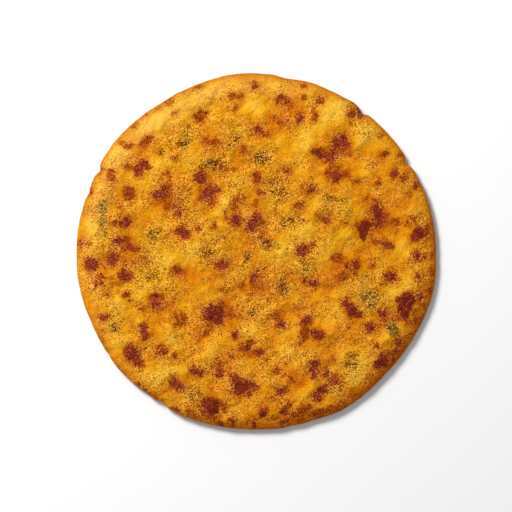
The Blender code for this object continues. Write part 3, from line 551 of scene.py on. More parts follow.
@dataclass(frozen=True)
class Browning:
    """Browned spots, read as one field of distance and darkness."""

    spots: dict[Bake, Table]
    merge: float = 0.40
    near: float = 5.0
    far: float = 8.0

    def read(self, x: Array, y: Array) -> tuple[Array, Array]:
        """Measure places against all the spots.

        Args:
            x: places along X, in millimetres.
            y: places along Y, in millimetres.

        Returns:
            The distance outside the nearest spot's edge in millimetres, negative inside it,
            and how dark that spot is.
        """
        weights = np.full_like(x, TINY * TINY)
        darkness = np.zeros_like(x)
        for bake, rows in self.spots.items():
            for row in rows:
                _, away = oval_distance(x, y, row)
                weight = np.exp(-np.clip(away, -self.near, self.far) / self.merge)
                weights += weight
                darkness += weight * bake.value
        edge = -self.merge * np.log(weights)
        return np.clip(edge, -self.near, self.far), darkness / weights


@dataclass(frozen=True)
class UndersideSpots:
    """Makes up the browned spots of the hidden underside."""

    count: int = 150
    spread: float = 76.0
    sizes: Pair = (2.0, 7.5)
    bakes: tuple[Bake, ...] = (Bake.FAINT, Bake.BROWN, Bake.DARK)
    bake_shares: tuple[int, ...] = (3, 3, 4)
    narrowing: Pair = (0.6, 1.0)
    twin_from: float = 4.0
    twin_shift: float = 0.5
    twin_length: float = 0.6
    twin_width: float = 0.5
    seed: int = 21

    def browning(self) -> Browning:
        """Scatter spots over the underside with the same mix of sizes as the top's.

        Returns:
            The spots.
        """
        draw = random.Random(self.seed)
        smallest, largest = self.sizes
        spots: dict[Bake, list[Row]] = {bake: [] for bake in self.bakes}
        for _ in range(self.count):
            reach = self.spread * math.sqrt(draw.random())
            angle = draw.uniform(0.0, math.tau)
            size = smallest + (largest - smallest) * draw.random() ** 2
            bake = draw.choices(self.bakes, weights=self.bake_shares)[0]
            x = reach * math.cos(angle)
            y = reach * math.sin(angle)
            turn = draw.uniform(0.0, 180.0)
            spots[bake].append((x, y, size, size * draw.uniform(*self.narrowing), turn))
            if size > self.twin_from:
                near_x = x + draw.uniform(-self.twin_shift, self.twin_shift) * size
                near_y = y + draw.uniform(-self.twin_shift, self.twin_shift) * size
                spots[bake].append((near_x, near_y, size * self.twin_length,
                                    size * self.twin_width, turn))
        return Browning({bake: tuple(rows) for bake, rows in spots.items()})


@dataclass(frozen=True)
class RimTones:
    """How the rim's toasting and painted light and shade go round, and fade inward.

    The ways are in degrees, and the insets and reaches in millimetres. A pair gives what holds
    all round, and how much more there is on the side that faces the way.
    """

    narrow: float = 3.0
    wide: float = 2.0
    # Painted shade: the toast is stronger on the right and lower sides, which face away from the
    # light.
    toast_and_shade_side: float = -48.0
    toast_and_shade_reach: Pair = (2.0, 3.1)
    toast_and_shade_share: Pair = (0.04, 0.62)
    # Darker outermost line: toast, and painted shade where the rim rolls under.
    line_side: float = 10.0
    line_share: Pair = (0.34, 0.26)
    line_reach: float = 1.6
    low_toast: float = 0.25
    under_toast: float = 0.05
    # Painted shade along the outermost line, most on the upper left, where the rim rolls under.
    painted_edge_shade_side: float = 120.0
    painted_edge_shade_share: float = 0.62
    painted_edge_shade_reach: float = 2.3
    lit_side: float = 128.0
    # Painted highlight on the shoulder that faces the light.
    painted_highlight_share: float = 0.22
    painted_highlight_inset: float = 6.0
    painted_highlight_reach: float = 4.5
    # Painted light and shade as colour: olive on the lit side, orange on the shaded side.
    painted_tint_side: float = 115.0
    painted_tint_share: float = 0.5
    painted_tint_reach: float = 13.0
    # Painted light on the shoulder, given as the paler tone of a rise.
    painted_ridge_across: float = 135.0
    lit_painted_ridge: float = 0.08
    side_painted_ridge: float = 0.10
    painted_ridge_inset: float = 7.5
    painted_ridge_reach: float = 5.0

    def toast_and_painted_shade(self, angles: Array, inset: Array, below: Array) -> Array:
        """Toast and painted shade of the rim, most of all low on its right and lower sides.

        Args:
            angles: angles round the bread, in radians.
            inset: how far in from the rim.
            below: how far down the rim's underside, from 0 to 1.

        Returns:
            Shares from 0 to 1.
        """
        side = facing(angles, self.toast_and_shade_side, self.narrow)
        away = np.maximum(inset, 0.0)
        reach = self.toast_and_shade_reach[0] + self.toast_and_shade_reach[1] * side
        above = fading(away, reach) * (self.toast_and_shade_share[0] + self.toast_and_shade_share[1] * side)
        swing = np.cos(angles - math.radians(self.line_side))
        line = (self.line_share[0] + self.line_share[1] * swing) * fading(away, self.line_reach)
        low = self.low_toast * below * (1.0 - below)
        return np.clip(np.maximum(above, line) + low, 0.0, 1.0)

    def tan(self, angles: Array, inset: Array) -> Array:
        """Painted shade along the outermost line, most of all on the upper left."""
        side = facing(angles, self.painted_edge_shade_side, self.narrow)
        return self.painted_edge_shade_share * side * fading(np.maximum(inset, 0.0), self.painted_edge_shade_reach)

    def painted_highlight(self, angles: Array, inset: Array) -> Array:
        """How much painted highlight the shoulder has where it faces the light."""
        side = np.square(facing(angles, self.lit_side, self.wide))
        return self.painted_highlight_share * side * fading(inset - self.painted_highlight_inset, self.painted_highlight_reach)

    def painted_light_tint(self, angles: Array, inset: Array) -> Array:
        """Painted light as colour: the outer crumb olive on the lit upper side, orange on the
        lower.
        """
        side = np.cos(angles - math.radians(self.painted_tint_side))
        return self.painted_tint_share * side * fading(inset, self.painted_tint_reach)

    def painted_ridge(self, angles: Array, inset: Array) -> Array:
        """Paint light on the shoulder as a paler tone, facing the light and across it.

        Args:
            angles: angles round the bread, in radians.
            inset: how far in from the rim.

        Returns:
            The rise in millimetres that it looks like.
        """
        lit = facing(angles, self.lit_side, self.wide)
        across = np.square(np.sin(angles - math.radians(self.painted_ridge_across)))
        band = fading(inset - self.painted_ridge_inset, self.painted_ridge_reach)
        return (self.lit_painted_ridge * lit + self.side_painted_ridge * across) * band


class ShaderDesk:
    """Adds and links the nodes of one material."""

    FIRST_COLOUR = 6
    SECOND_COLOUR = 7
    MIXED_COLOUR = 2

    def __init__(self, name: str) -> None:
        """Start a material with a Principled surface.

        Args:
            name: the material's name.
        """
        self.material = bpy.data.materials.new(name)
        self.material.use_nodes = True
        self.tree = self.material.node_tree
        self.surface = self.tree.nodes["Principled BSDF"]

    def add(self, kind: str, **settings: Union[str, bool]) -> bpy.types.Node:
        """Add a node.

        Args:
            kind: the node's type.
            settings: its properties.

        Returns:
            The node.
        """
        node = self.tree.nodes.new(kind)
        for name, value in settings.items():
            setattr(node, name, value)
        return node

    def feed(self, socket: Socket, value: Union[Value, Place]) -> None:
        """Link a socket to another, or set it to a constant.

        Args:
            socket: the socket.
            value: the other socket, or the constant.
        """
        if isinstance(value, Socket):
            self.tree.links.new(value, socket)
        else:
            socket.default_value = value

    def attribute(self, name: str) -> Socket:
        """Read one number of the mesh."""
        node = self.add("ShaderNodeAttribute", attribute_type="GEOMETRY", attribute_name=name)
        return node.outputs["Fac"]

    def millimetres(self) -> Socket:
        """Read the place on the piece.

        Returns:
            Object coordinates in millimetres.
        """
        place = self.add("ShaderNodeTexCoord")
        scale = self.add("ShaderNodeMapping")
        self.feed(scale.inputs["Scale"], (MM_IN_A_METRE, MM_IN_A_METRE, MM_IN_A_METRE))
        self.feed(scale.inputs["Vector"], place.outputs["Object"])
        return scale.outputs["Vector"]

    def noise(self, where: Socket, size: float, detail: float, roughness: float,
              distortion: float = 0.0) -> Socket:
        """Add a noise.

        Args:
            where: the coordinates.
            size: the size of its lumps in millimetres.
            detail: how many finer layers it has.
            roughness: how strong the finer layers are.
            distortion: how far its lumps are pulled about.

        Returns:
            The noise, from 0 to 1.
        """
        node = self.add("ShaderNodeTexNoise", noise_dimensions="3D")
        titles = ("Vector", "Scale", "Detail", "Roughness", "Distortion")
        for title, given in zip(titles, (where, 1.0 / size, detail, roughness, distortion)):
            self.feed(node.inputs[title], given)
        return node.outputs["Fac"]

    def cells(self, where: Socket, size: float) -> tuple[Socket, Socket, Socket]:
        """Add scattered grains.

        Args:
            where: the coordinates.
            size: the spacing of the grains in millimetres.

        Returns:
            The distance from the nearest grain as a share of the spacing, and two random
            numbers that stay the same over the grain.
        """
        node = self.add("ShaderNodeTexVoronoi", voronoi_dimensions="3D", feature="F1")
        self.feed(node.inputs["Vector"], where)
        self.feed(node.inputs["Scale"], 1.0 / size)
        split = self.add("ShaderNodeSeparateColor")
        self.feed(split.inputs["Color"], node.outputs["Color"])
        return node.outputs["Distance"], split.outputs["Red"], split.outputs["Green"]

    def math(self, operation: str, *values: Value, clamp: bool = False) -> Socket:
        """Combine numbers.

        Args:
            operation: what to do with them.
            values: the numbers.
            clamp: whether to hold the answer between 0 and 1.

        Returns:
            The answer.
        """
        node = self.add("ShaderNodeMath", operation=operation, use_clamp=clamp)
        for socket, value in zip(node.inputs, values):
            self.feed(socket, value)
        return node.outputs[0]

    def times(self, first: Value, second: Value) -> Socket:
        """Multiply two numbers."""
        return self.math("MULTIPLY", first, second)

    def total(self, values: tuple[Value, ...], shares: Row) -> Value:
        """Add up numbers.

        Args:
            values: the numbers.
            shares: what each is multiplied by, and last what is added as it is.

        Returns:
            The sum.
        """
        answer: Value = shares[-1]
        for value, share in zip(values, shares):
            answer = self.math("MULTIPLY_ADD", value, share, answer)
        return answer

    def step(self, value: Value, low: Value, high: Value, bottom: float = 0.0,
             top: float = 1.0) -> Socket:
        """Rise smoothly between two numbers.

        Args:
            value: what is read.
            low: the value at which the rise begins, which may be the larger.
            high: the value at which it ends.
            bottom: the number that it rises from.
            top: the number that it rises to.

        Returns:
            The risen number.
        """
        node = self.add("ShaderNodeMapRange", interpolation_type="SMOOTHSTEP")
        titles = ("Value", "From Min", "From Max", "To Min", "To Max")
        for title, given in zip(titles, (value, low, high, bottom, top)):
            self.feed(node.inputs[title], given)
        return node.outputs["Result"]

    def mix(self, share: Value, first: Value, second: Value, blend: str = "MIX") -> Socket:
        """Blend two colours.

        Args:
            share: how much of the second, held between 0 and 1.
            first: the first colour.
            second: the second colour.
            blend: the way of blending.

        Returns:
            The blended colour.
        """
        node = self.add("ShaderNodeMix", data_type="RGBA", blend_type=blend, clamp_factor=True)
        self.feed(node.inputs["Factor"], share)
        self.feed(node.inputs[self.FIRST_COLOUR], first)
        self.feed(node.inputs[self.SECOND_COLOUR], second)
        return node.outputs[self.MIXED_COLOUR]

    def ramp(self, value: Value, stops: Ramp) -> Socket:
        """Read a value as a colour.

        Args:
            value: the value.
            stops: the colours, each with the value that it stands at, in rising order.

        Returns:
            The colour.
        """
        node = self.add("ShaderNodeValToRGB")
        elements = node.color_ramp.elements
        elements[0].position, elements[0].color = stops[0]
        elements[1].position, elements[1].color = stops[-1]
        for position, colour in stops[1:-1]:
            elements.new(position).color = colour
        self.feed(node.inputs["Fac"], value)
        return node.outputs["Color"]

    def bump(self, height: Value, depth: float, strength: float) -> None:
        """Roughen the surface.

        Args:
            height: the height from 0 to 1.
            depth: what a height of 1 stands for, in millimetres.
            strength: how much of it shows.
        """
        node = self.add("ShaderNodeBump")
        self.feed(node.inputs["Strength"], strength)
        self.feed(node.inputs["Distance"], depth * MM)
        self.feed(node.inputs["Height"], height)
        self.feed(self.surface.inputs["Normal"], node.outputs["Normal"])

    def dress(self, colour: Value, roughness: Value, specular: float) -> bpy.types.Material:
        """Finish the surface.

        Args:
            colour: its colour.
            roughness: its roughness.
            specular: its specular level.

        Returns:
            The material.
        """
        self.feed(self.surface.inputs["Base Color"], colour)
        self.feed(self.surface.inputs["Roughness"], roughness)
        self.surface.inputs["Specular IOR Level"].default_value = specular
        return self.material


@dataclass(frozen=True)
class DoughFinish:
    """Baked gram flour dough: golden, mottled, specked, browned in spots."""

    name: str = "baked_dough"
    tones: Ramp = (
        (0.00, linear(170, 76, 0)),
        (0.25, linear(190, 104, 0)),
        (0.50, linear(208, 131, 4)),
        (0.75, linear(222, 154, 18)),
        (1.00, linear(235, 175, 46)),
    )
    brown_tones: Ramp = (
        (0.10, linear(108, 36, 0)),
        (0.50, linear(146, 64, 6)),
        (0.90, linear(184, 92, 20)),
    )
    char_tones: Ramp = (
        (0.10, linear(90, 26, 15)),
        (0.50, linear(115, 36, 14)),
        (0.90, linear(164, 74, 45)),
    )
    deep: Colour = linear(98, 26, 0)
    pale: Colour = linear(250, 194, 96)
    halo: Colour = linear(172, 82, 2)
    olive: Colour = linear(138, 86, 4)
    leaf: Colour = linear(122, 112, 8)
    speck: Colour = linear(88, 36, 0)
    # Colour of the toast, also used as painted shade on the rim's right and lower sides and outer
    # line.
    toast_and_painted_shade: Colour = linear(162, 46, 0)
    # Painted shade along the rim's outermost line on the upper left.
    tan: Colour = linear(150, 92, 6)
    # Painted highlight on the shoulder that faces the light.
    painted_highlight: Colour = linear(226, 160, 96)
    # Tints for the patches and for painted light: olive on the lit side, orange on the shaded side.
    greener: Colour = (0.855, 1.0, 1.0, 1.0)
    redder: Colour = (1.045, 0.855, 0.78, 1.0)
    specular: float = 0.008
    # Patterns: the size in millimetres, the detail, the roughness and the distortion.
    patches: Row = (14.0, 2.0, 0.5, 0.3)
    mottles: Row = (3.4, 2.0, 0.5, 0.4)
    rags: Row = (1.6, 3.0, 0.65)
    grains: Row = (0.42, 2.0, 0.6)
    crowds: Row = (9.0, 3.0, 0.6)
    speck_spacing: float = 1.3
    # Shares of the numbers that are added up, and last what is added as it is.
    crowd_shares: Row = (0.7, 1.0, 0.15)
    warmth_shares: Row = (1.0, 4.0, -2.0)
    body_shares: Row = (0.64, 0.46, 0.30, 0.46, -0.22, -0.18)
    pepper_shares: Row = (1.0, 1.25, 0.0)
    deep_limit: Row = (0.45, 0.52)
    pale_shares: Row = (-0.35, 1.0)
    speck_shares: Row = (0.55, 0.45, -0.16)
    speck_reach: Row = (0.22, 0.12)
    frayed_shares: Row = (3.9, 2.3, 1.9, -4.05)
    scorch_shares: Row = (1.0, 1.0, -0.52)
    spot_shares: Row = (1.4, 1.65, 0.8, -1.92)
    burnt_shares: Row = (1.0, -0.50, 0.50)
    rough_shares: Row = (0.25, -0.14, 0.60)
    height_shares: Row = (0.40, 0.60, 0.90, 0.0)
    # Steps: where each begins and ends, and for some the numbers that it runs between.
    warmth_span: Pair = (3.6, -0.8)
    pepper_span: Row = (0.38, 0.62, 0.32, 1.52)
    loose_span: Row = (0.38, 0.62, 0.62, 1.24)
    pale_span: Pair = (0.52, 1.0)
    # Breaks the rim's toast and painted shade into patches.
    toast_and_shade_span: Row = (0.25, 0.75, 0.55, 1.1)
    scorch_span: Pair = (0.9, -0.9)
    brown_span: Pair = (0.05, 0.45)
    char_span: Pair = (0.55, 0.95)
    # How much of a colour shows where it is fullest, and how sharp the specks are.
    halo_share: float = 0.62
    herb_share: float = 0.82
    deep_share: float = 0.60
    pale_share: float = 0.37
    speck_share: float = 0.7
    speck_core: float = 0.4
    # Relief: how deep it is in millimetres, and how much of it shows.
    relief: Pair = (0.70, 0.85)

    def material(self) -> bpy.types.Material:
        """Build the finish as a material."""
        return DoughDesk(self).build()


class DoughDesk(ShaderDesk):
    """Lays the dough's finish, one layer over another."""

    def __init__(self, look: DoughFinish) -> None:
        """Start the material with the patterns and readings that its layers share.

        Args:
            look: the finish of the dough.
        """
        super().__init__(look.name)
        self.look = look
        self.where = self.millimetres()
        self.patchy = self.noise(self.where, *look.patches)
        self.mottled = self.noise(self.where, *look.mottles)
        self.ragged = self.noise(self.where, *look.rags)
        self.grain = self.noise(self.where, *look.grains)
        _, self.dark, self.light = self.cells(self.where, look.grains[0])
        self.edge = self.attribute("edge")
        self.bake = self.attribute("bake")
        self.herb = self.attribute("herb")
        thick = self.noise(self.where, *look.crowds)
        self.crowd = self.total((thick, self.attribute("coarse")), look.crowd_shares)
        near = self.total((self.edge, self.mottled), look.warmth_shares)
        baked = self.math("MINIMUM", self.bake, 1.0)
        self.warmth = self.times(self.step(near, *look.warmth_span), baked)

    def build(self) -> bpy.types.Material:
        """Lay all the layers.

        Returns:
            The material.
        """
        look = self.look
        colour = self.rim(self.specks(self.peppered(self.herbs(self.plain()))))
        colour, charred = self.spots(colour)
        height = self.total((self.grain, self.ragged, self.mottled), look.height_shares)
        self.bump(height, *look.relief)
        rough = self.total((self.grain, charred), look.rough_shares)
        return self.dress(colour, rough, look.specular)

    def plain(self) -> Socket:
        """Colour the bare dough, warmer round browned spots, tinted patch by patch, with painted
        light.

        Returns:
            The colour.
        """
        look = self.look
        # The swell tone carries painted light on the shoulder.
        parts = (self.patchy, self.mottled, self.ragged, self.attribute("swell_and_painted_light"), self.warmth)
        colour = self.ramp(self.total(parts, look.body_shares), look.tones)
        colour = self.mix(self.times(self.warmth, look.halo_share), colour, look.halo)
        # Patch tint, with painted light at the rim: olive on its lit side, orange on its shaded
        # side.
        tint_and_painted_light = self.attribute("tint_and_painted_light")
        colour = self.mix(tint_and_painted_light, colour, look.greener, "MULTIPLY")
        return self.mix(self.times(tint_and_painted_light, -1.0), colour, look.redder, "MULTIPLY")

    def herbs(self, colour: Socket) -> Socket:
        """Stain a colour olive and green where herbs are chopped into the dough."""
        stain = self.mix(self.attribute("green"), self.look.olive, self.look.leaf)
        return self.mix(self.times(self.herb, self.look.herb_share), colour, stain)

    def peppered(self, colour: Socket) -> Socket:
        """Darken and lighten a colour grain by grain, most where crumb and herbs are thick.

        Args:
            colour: the colour.

        Returns:
            The peppered colour.
        """
        look = self.look
        swing = self.step(self.crowd, *look.pepper_span)
        swing = self.total((swing, self.herb), look.pepper_shares)
        limit = self.total((self.herb,), look.deep_limit)
        darker = self.times(self.step(self.dark, limit, 0.0), swing)
        lighter = self.times(self.step(self.dark, *look.pale_span), swing)
        lighter = self.times(lighter, self.total((self.herb,), look.pale_shares))
        colour = self.mix(self.times(darker, look.deep_share), colour, look.deep)
        return self.mix(self.times(lighter, look.pale_share), colour, look.pale)

    def specks(self, colour: Socket) -> Socket:
        """Scatter small dark specks over a colour, more of them round the browned spots.

        Args:
            colour: the colour.

        Returns:
            The specked colour.
        """
        look = self.look
        away, pick, size = self.cells(self.where, look.speck_spacing)
        share = self.total((self.crowd, self.warmth), look.speck_shares)
        chosen = self.math("LESS_THAN", pick, share)
        reach = self.total((size,), look.speck_reach)
        speck = self.step(away, reach, self.times(reach, look.speck_core))
        speck = self.times(self.times(speck, chosen), look.speck_share)
        return self.mix(speck, colour, look.speck)

    def rim(self, colour: Socket) -> Socket:
        """Toast the rim and paint shade on it, and a highlight on the shoulder facing the light.

        Args:
            colour: the colour.

        Returns:
            The colour with its rim.
        """
        # Toast, with painted shade on the right and lower sides and along the outermost line.
        toast_and_shade_mask = self.step(self.mottled, *self.look.toast_and_shade_span)
        toast_and_shade_mask = self.times(self.attribute("toast_and_painted_shade"), toast_and_shade_mask)
        colour = self.mix(toast_and_shade_mask, colour, self.look.toast_and_painted_shade)
        # Painted shade along the outermost line on the upper left.
        colour = self.mix(self.attribute("tan"), colour, self.look.tan)
        # Painted highlight on the shoulder that faces the light.
        return self.mix(self.attribute("painted_highlight"), colour, self.look.painted_highlight)

    def spots(self, colour: Socket) -> tuple[Socket, Socket]:
        """Brown and char a colour in spots, with edges frayed by the grain of the crumb.

        Args:
            colour: the colour.

        Returns:
            The spotted colour, and how charred it is.
        """
        look = self.look
        burnt = self.math("SUBTRACT", self.bake, 1.0, clamp=True)
        loose = self.math("SUBTRACT", self.step(self.crowd, *look.loose_span), burnt)
        frayed = self.total((self.ragged, self.grain, self.dark), look.frayed_shares)
        scorch = self.total((self.edge, self.times(frayed, loose)), look.scorch_shares)
        depth = self.times(self.step(scorch, *look.scorch_span), self.bake)
        tone = self.total((self.light, self.grain, self.ragged), look.spot_shares)
        tone = self.total((self.times(tone, loose), burnt), look.burnt_shares)
        browned = self.step(depth, *look.brown_span)
        charred = self.step(depth, *look.char_span)
        colour = self.mix(browned, colour, self.ramp(tone, look.brown_tones))
        return self.mix(charred, colour, self.ramp(tone, look.char_tones)), charred


@dataclass
class Corners:
    """Where the crust's corners lie, as arrays with one number for each corner.

    Attributes:
        rings: 0 at the centre and 1 at the rim.
        angles: the angle round the bread, in radians.
        below: 0 on the top, and from 0 to 1 down the rim's curl.
        under: whether the corner lies inside the curl, on the underside.
        x: the place along X, in millimetres.
        y: the place along Y, in millimetres.
        inset: how far in from the rim's widest line, in millimetres.
    """

    rings: Array
    angles: Array
    below: Array
    under: Array
    x: Array
    y: Array
    inset: Array


@dataclass
class Crust:
    """The whole surface of the bread, as one closed mesh that stands for its solid.

    Sizes are in millimetres, before the crust is fitted to the solid's box.
    """

    form: BreadForm
    tones: RimTones = RimTones()
    name: str = "roti_crust"
    rings: int = 150
    quick_rings: int = 96
    under_rings: int = 62
    steps: int = 10
    held_apart: float = 20.0
    under_step: float = 0.6
    crowding: float = 0.15
    crowding_power: int = 4
    warp_swing: float = 0.7
    warp_size: float = 2.6
    warp_layers: Pair = (3.0, 7.0)
    herb_edge: float = 0.9
    herb_power: float = 4.0
    full_swell: float = 0.4
    most_swell: float = 1.5
    coarse_share: float = 0.13
    top_until: float = 0.5
    pit_spacing: float = 3.0
    pit_reach: float = 0.20
    pit_depth: float = 0.14
    blister_rise: float = 0.10
    blister_middle: float = 0.5
    blister_reach: float = 1.6
    dimple_depth: float = 0.35
    dimple_size: float = 11.0
    dimple_layer: float = 5.0
    dimple_share: float = 0.1
    dimple_fade: float = 8.0
    small_scale: float = 2.9
    lee: float = 1.2
    rolled: float = 1.3
    wrinkles: Table = ((11.0, 0.56, 6.0), (5.5, 0.64, 4.0), (2.7, 0.42, 1.0), (1.4, 0.17, 2.0))

    def __post_init__(self) -> None:
        """Read the solid's box, which the crust is fitted to, and the browned spots."""
        low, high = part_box("roti")
        self.low = np.array(low) / MM
        self.high = np.array(high) / MM
        self.own_low = self.low.copy()
        self.own_high = self.high.copy()
        self.top_spots = Browning(SPOTS)
        self.under_spots = UndersideSpots().browning()

    def build(self, finish: DoughFinish) -> bpy.types.Object:
        """Model the crust and dress it.

        Args:
            finish: the finish of the dough.

        Returns:
            The finished piece.
        """
        shell = bmesh.new()
        ring_layer = shell.verts.layers.float.new("ring")
        angle_layer = shell.verts.layers.float.new("angle")
        step_layer = shell.verts.layers.float.new("step")
        placed_layer = shell.verts.layers.float.new("placed")
        layers = (ring_layer, angle_layer, step_layer, placed_layer)
        self.fan(shell, self.rings)
        self.mark(shell, layers, 0)
        for step in range(1, self.steps + 1):
            grown = bmesh.ops.extrude_edge_only(shell, edges=self.open_edges(shell))["geom"]
            for vertex in (item for item in grown if isinstance(item, bmesh.types.BMVert)):
                vertex[step_layer] = step
        self.fan(shell, self.under_rings)
        self.mark(shell, layers, self.steps + 1)
        corners = self.corners(*(np.array([vertex[layer] for vertex in shell.verts])
                                 for layer in (ring_layer, angle_layer, step_layer)))
        fields = self.readings(corners)
        places = self.fit(self.lift(corners, fields["edge"]))
        apart = places - np.outer(corners.under, (0.0, 0.0, self.held_apart * MM))
        self.put(shell, apart)
        bmesh.ops.bridge_loops(shell, edges=self.open_edges(shell))
        self.put(shell, places)
        bmesh.ops.recalc_face_normals(shell, faces=shell.faces[:])
        for layer in layers:
            shell.verts.layers.float.remove(layer)
        crust = finished(shell, self.name, finish.material(), fields)
        crust.data.shade_smooth()
        return crust

    @staticmethod
    def put(shell: bmesh.types.BMesh, places: Array) -> None:
        """Put every corner at its own place."""
        for vertex, place in zip(shell.verts, places.tolist()):
            vertex.co = place

    @staticmethod
    def open_edges(shell: bmesh.types.BMesh) -> list[bmesh.types.BMEdge]:
        """Edges that have only one face."""
        return [edge for edge in shell.edges if edge.is_boundary]

    @staticmethod
    def fan(shell: bmesh.types.BMesh, rings: int) -> None:
        """Add a flat unit hexagon, cut into equal triangles.

        Args:
            shell: the mesh to add it to.
            rings: how many rings of triangles it has.
        """
        corner_to_x = Matrix.Rotation(SECTOR / 2, 4, "Z")
        made = bmesh.ops.create_circle(shell, cap_ends=True, cap_tris=True, segments=SIDES,
                                       radius=1.0, matrix=corner_to_x)
        edges = {edge for vertex in made["verts"] for edge in vertex.link_edges}
        bmesh.ops.subdivide_edges(shell, edges=list(edges), cuts=rings - 1, use_grid_fill=True)

    @classmethod
    def mark(cls, shell: bmesh.types.BMesh, layers: tuple[bmesh.types.BMLayerItem, ...],
             step: int) -> None:
        """Note where each new corner belongs.

        Args:
            shell: the mesh.
            layers: its layers for the ring, the angle, the step and whether a corner is noted.
            step: the step of the new corners.
        """
        ring_layer, angle_layer, step_layer, placed_layer = layers
        for vertex in (item for item in shell.verts if not item[placed_layer]):
            vertex[ring_layer], vertex[angle_layer] = cls.ring_and_angle(vertex.co)
            vertex[step_layer] = step
            vertex[placed_layer] = 1.0

    @staticmethod
    def ring_and_angle(point: Vector) -> tuple[float, float]:
        """Read where a point of the unit hexagon lies.

        Args:
            point: the point.

        Returns:
            Its ring, 0 at the centre and 1 at the rim, and its angle in radians.
        """
        first = SECTOR * math.floor(math.atan2(point.y, point.x) / SECTOR + TINY)
        middle = Vector((math.cos(first + SECTOR / 2), math.sin(first + SECTOR / 2)))
        ring = point.xy.dot(middle) / math.cos(SECTOR / 2)
        if ring < TINY:
            return 0.0, 0.0
        corner = Vector((math.cos(first), math.sin(first)))
        next_corner = Vector((math.cos(first + SECTOR), math.sin(first + SECTOR)))
        share = (point.xy / ring - corner).dot(next_corner - corner)
        return ring, first + share * SECTOR

    def corners(self, rings: Array, angles: Array, steps: Array) -> Corners:
        """Work out where the corners lie, seen from above.

        Args:
            rings: each corner's ring, from 0 to 1.
            angles: each corner's angle in radians.
            steps: 0 on the top, rising down the rim, and one past the last on the underside.

        Returns:
            The corners.
        """
        outline = self.form.outline(angles)
        below = np.clip(steps / self.steps, 0.0, 1.0)
        under = steps > self.steps
        spread = rings * (1.0 + self.crowding * (1.0 - rings ** self.crowding_power))
        curled = self.form.curl(angles) * (1.0 - np.cos(below * math.pi / 2))
        step_in = np.where(under, self.under_step, 0.0)
        reach = np.where(below > 0, (outline - curled - step_in) * rings, outline * spread)
        x = reach * np.cos(angles)
        y = reach * np.sin(angles)
        return Corners(rings, angles, below, under, x, y, outline - np.hypot(x, y))

    def herbs(self, x: Array, y: Array) -> tuple[Array, Array]:
        """Read the places with chopped herbs.

        Args:
            x: places along X.
            y: places along Y.

        Returns:
            How much of the herbs there is, and how green they are.
        """
        herb = np.zeros_like(x)
        green = np.zeros_like(x)
        for row in HERBS:
            thickness, greenness = row[5:]
            units, _ = oval_distance(x, y, row)
            amount = thickness * np.exp(-np.power(units * self.herb_edge, self.herb_power))
            green = np.maximum(green, greenness * amount)
            herb = np.maximum(herb, amount)
        return herb, green

    def readings(self, corners: Corners) -> dict[str, Array]:
        """Read the fields that the shape and the finish both need.

        Args:
            corners: the crust's corners.

        Returns:
            Arrays named edge, bake, herb, green, swell, toast, tan, bloom, tint and coarse.
        """
        x, y = corners.x, corners.y
        angles, inset = corners.angles, corners.inset
        warped = [place + self.warp_swing * smooth_noise(x, y, self.warp_size, layer)
                  for place, layer in zip((x, y), self.warp_layers)]
        edge, bake = self.top_spots.read(*warped)
        under_edge, under_bake = self.under_spots.read(*warped)
        herb, green = self.herbs(*warped)
        large = self.form.relief(x, y) / self.form.swell_scale
        swell_and_painted_light = large + mounds(x, y, SMALL_SWELLS) - mounds(x, y, SMALL_DIPS)
        # Painted light on the shoulder is added to the swell tone.
        swell_and_painted_light = swell_and_painted_light + self.tones.painted_ridge(angles, inset)
        top_only = {
            "herb": herb,
            "green": green,
            "swell_and_painted_light": np.clip(swell_and_painted_light / self.full_swell, -self.most_swell, self.most_swell),
            # Painted highlight on the shoulder that faces the light.
            "painted_highlight": self.tones.painted_highlight(angles, inset),
            # Patch tint, with painted light at the rim added.
            "tint_and_painted_light": mounds(x, y, PATCHES) + self.tones.painted_light_tint(angles, inset),
            "coarse": self.coarse_share * mounds(x, y, PATCHES, column=6),
        }
        faces_down = corners.below > self.top_until
        fields = {name: np.where(faces_down, 0.0, field) for name, field in top_only.items()}
        fields["edge"] = np.where(faces_down, under_edge, edge)
        fields["bake"] = np.where(faces_down, under_bake, bake)
        # Toast of the rim, with painted shade on its right and lower sides and outermost line.
        toast_and_painted_shade = self.tones.toast_and_painted_shade(angles, inset, corners.below)
        fields["toast_and_painted_shade"] = np.where(corners.under, self.tones.under_toast, toast_and_painted_shade)
        # Painted shade along the outermost line.
        fields["tan"] = self.tones.tan(angles, inset)
        return fields

    def lift(self, corners: Corners, edge: Array) -> Array:
        """Give each corner its height, with the fine relief of the crust.

        Args:
            corners: the crust's corners.
            edge: how far each is from a browned spot's edge.

        Returns:
            The places as rows of x, y and z.
        """
        x, y, angles = corners.x, corners.y, corners.angles
        top = self.top_height(x, y, angles, corners.inset, edge)
        side = self.form.rim(angles) * (1.0 - np.sin(corners.below * math.pi / 2))
        lumps = smooth_noise(x, y, self.dimple_size, self.dimple_layer)
        dimples = np.maximum(0.0, lumps + self.dimple_share)
        fade = np.clip((1.0 - corners.rings) * self.dimple_fade, 0.0, 1.0)
        underside = self.dimple_depth * dimples * fade
        z = np.where(corners.under, underside, np.where(corners.below > 0, side, top))
        return np.stack([x, y, z], axis=1)

    def top_height(self, x: Array, y: Array, angles: Array, inset: Array,
                   edge: Array) -> Array:
        """Read the finished top.

        Args:
            x: places along X.
            y: places along Y.
            angles: their angles in radians.
            inset: how far in from the rim they are.
            edge: how far from a browned spot's edge they are.

        Returns:
            Their heights.
        """
        shoulder = self.form.shoulder(angles, inset)
        rim = self.form.rim(angles)
        lee_x, lee_y = x - self.lee, y + self.lee
        small = mounds(lee_x, lee_y, SMALL_SWELLS) - mounds(lee_x, lee_y, SMALL_DIPS)
        relief = self.form.relief(x, y) + self.small_scale * small
        return rim + (self.form.thickness - rim + relief + self.fine(x, y, edge)) * shoulder

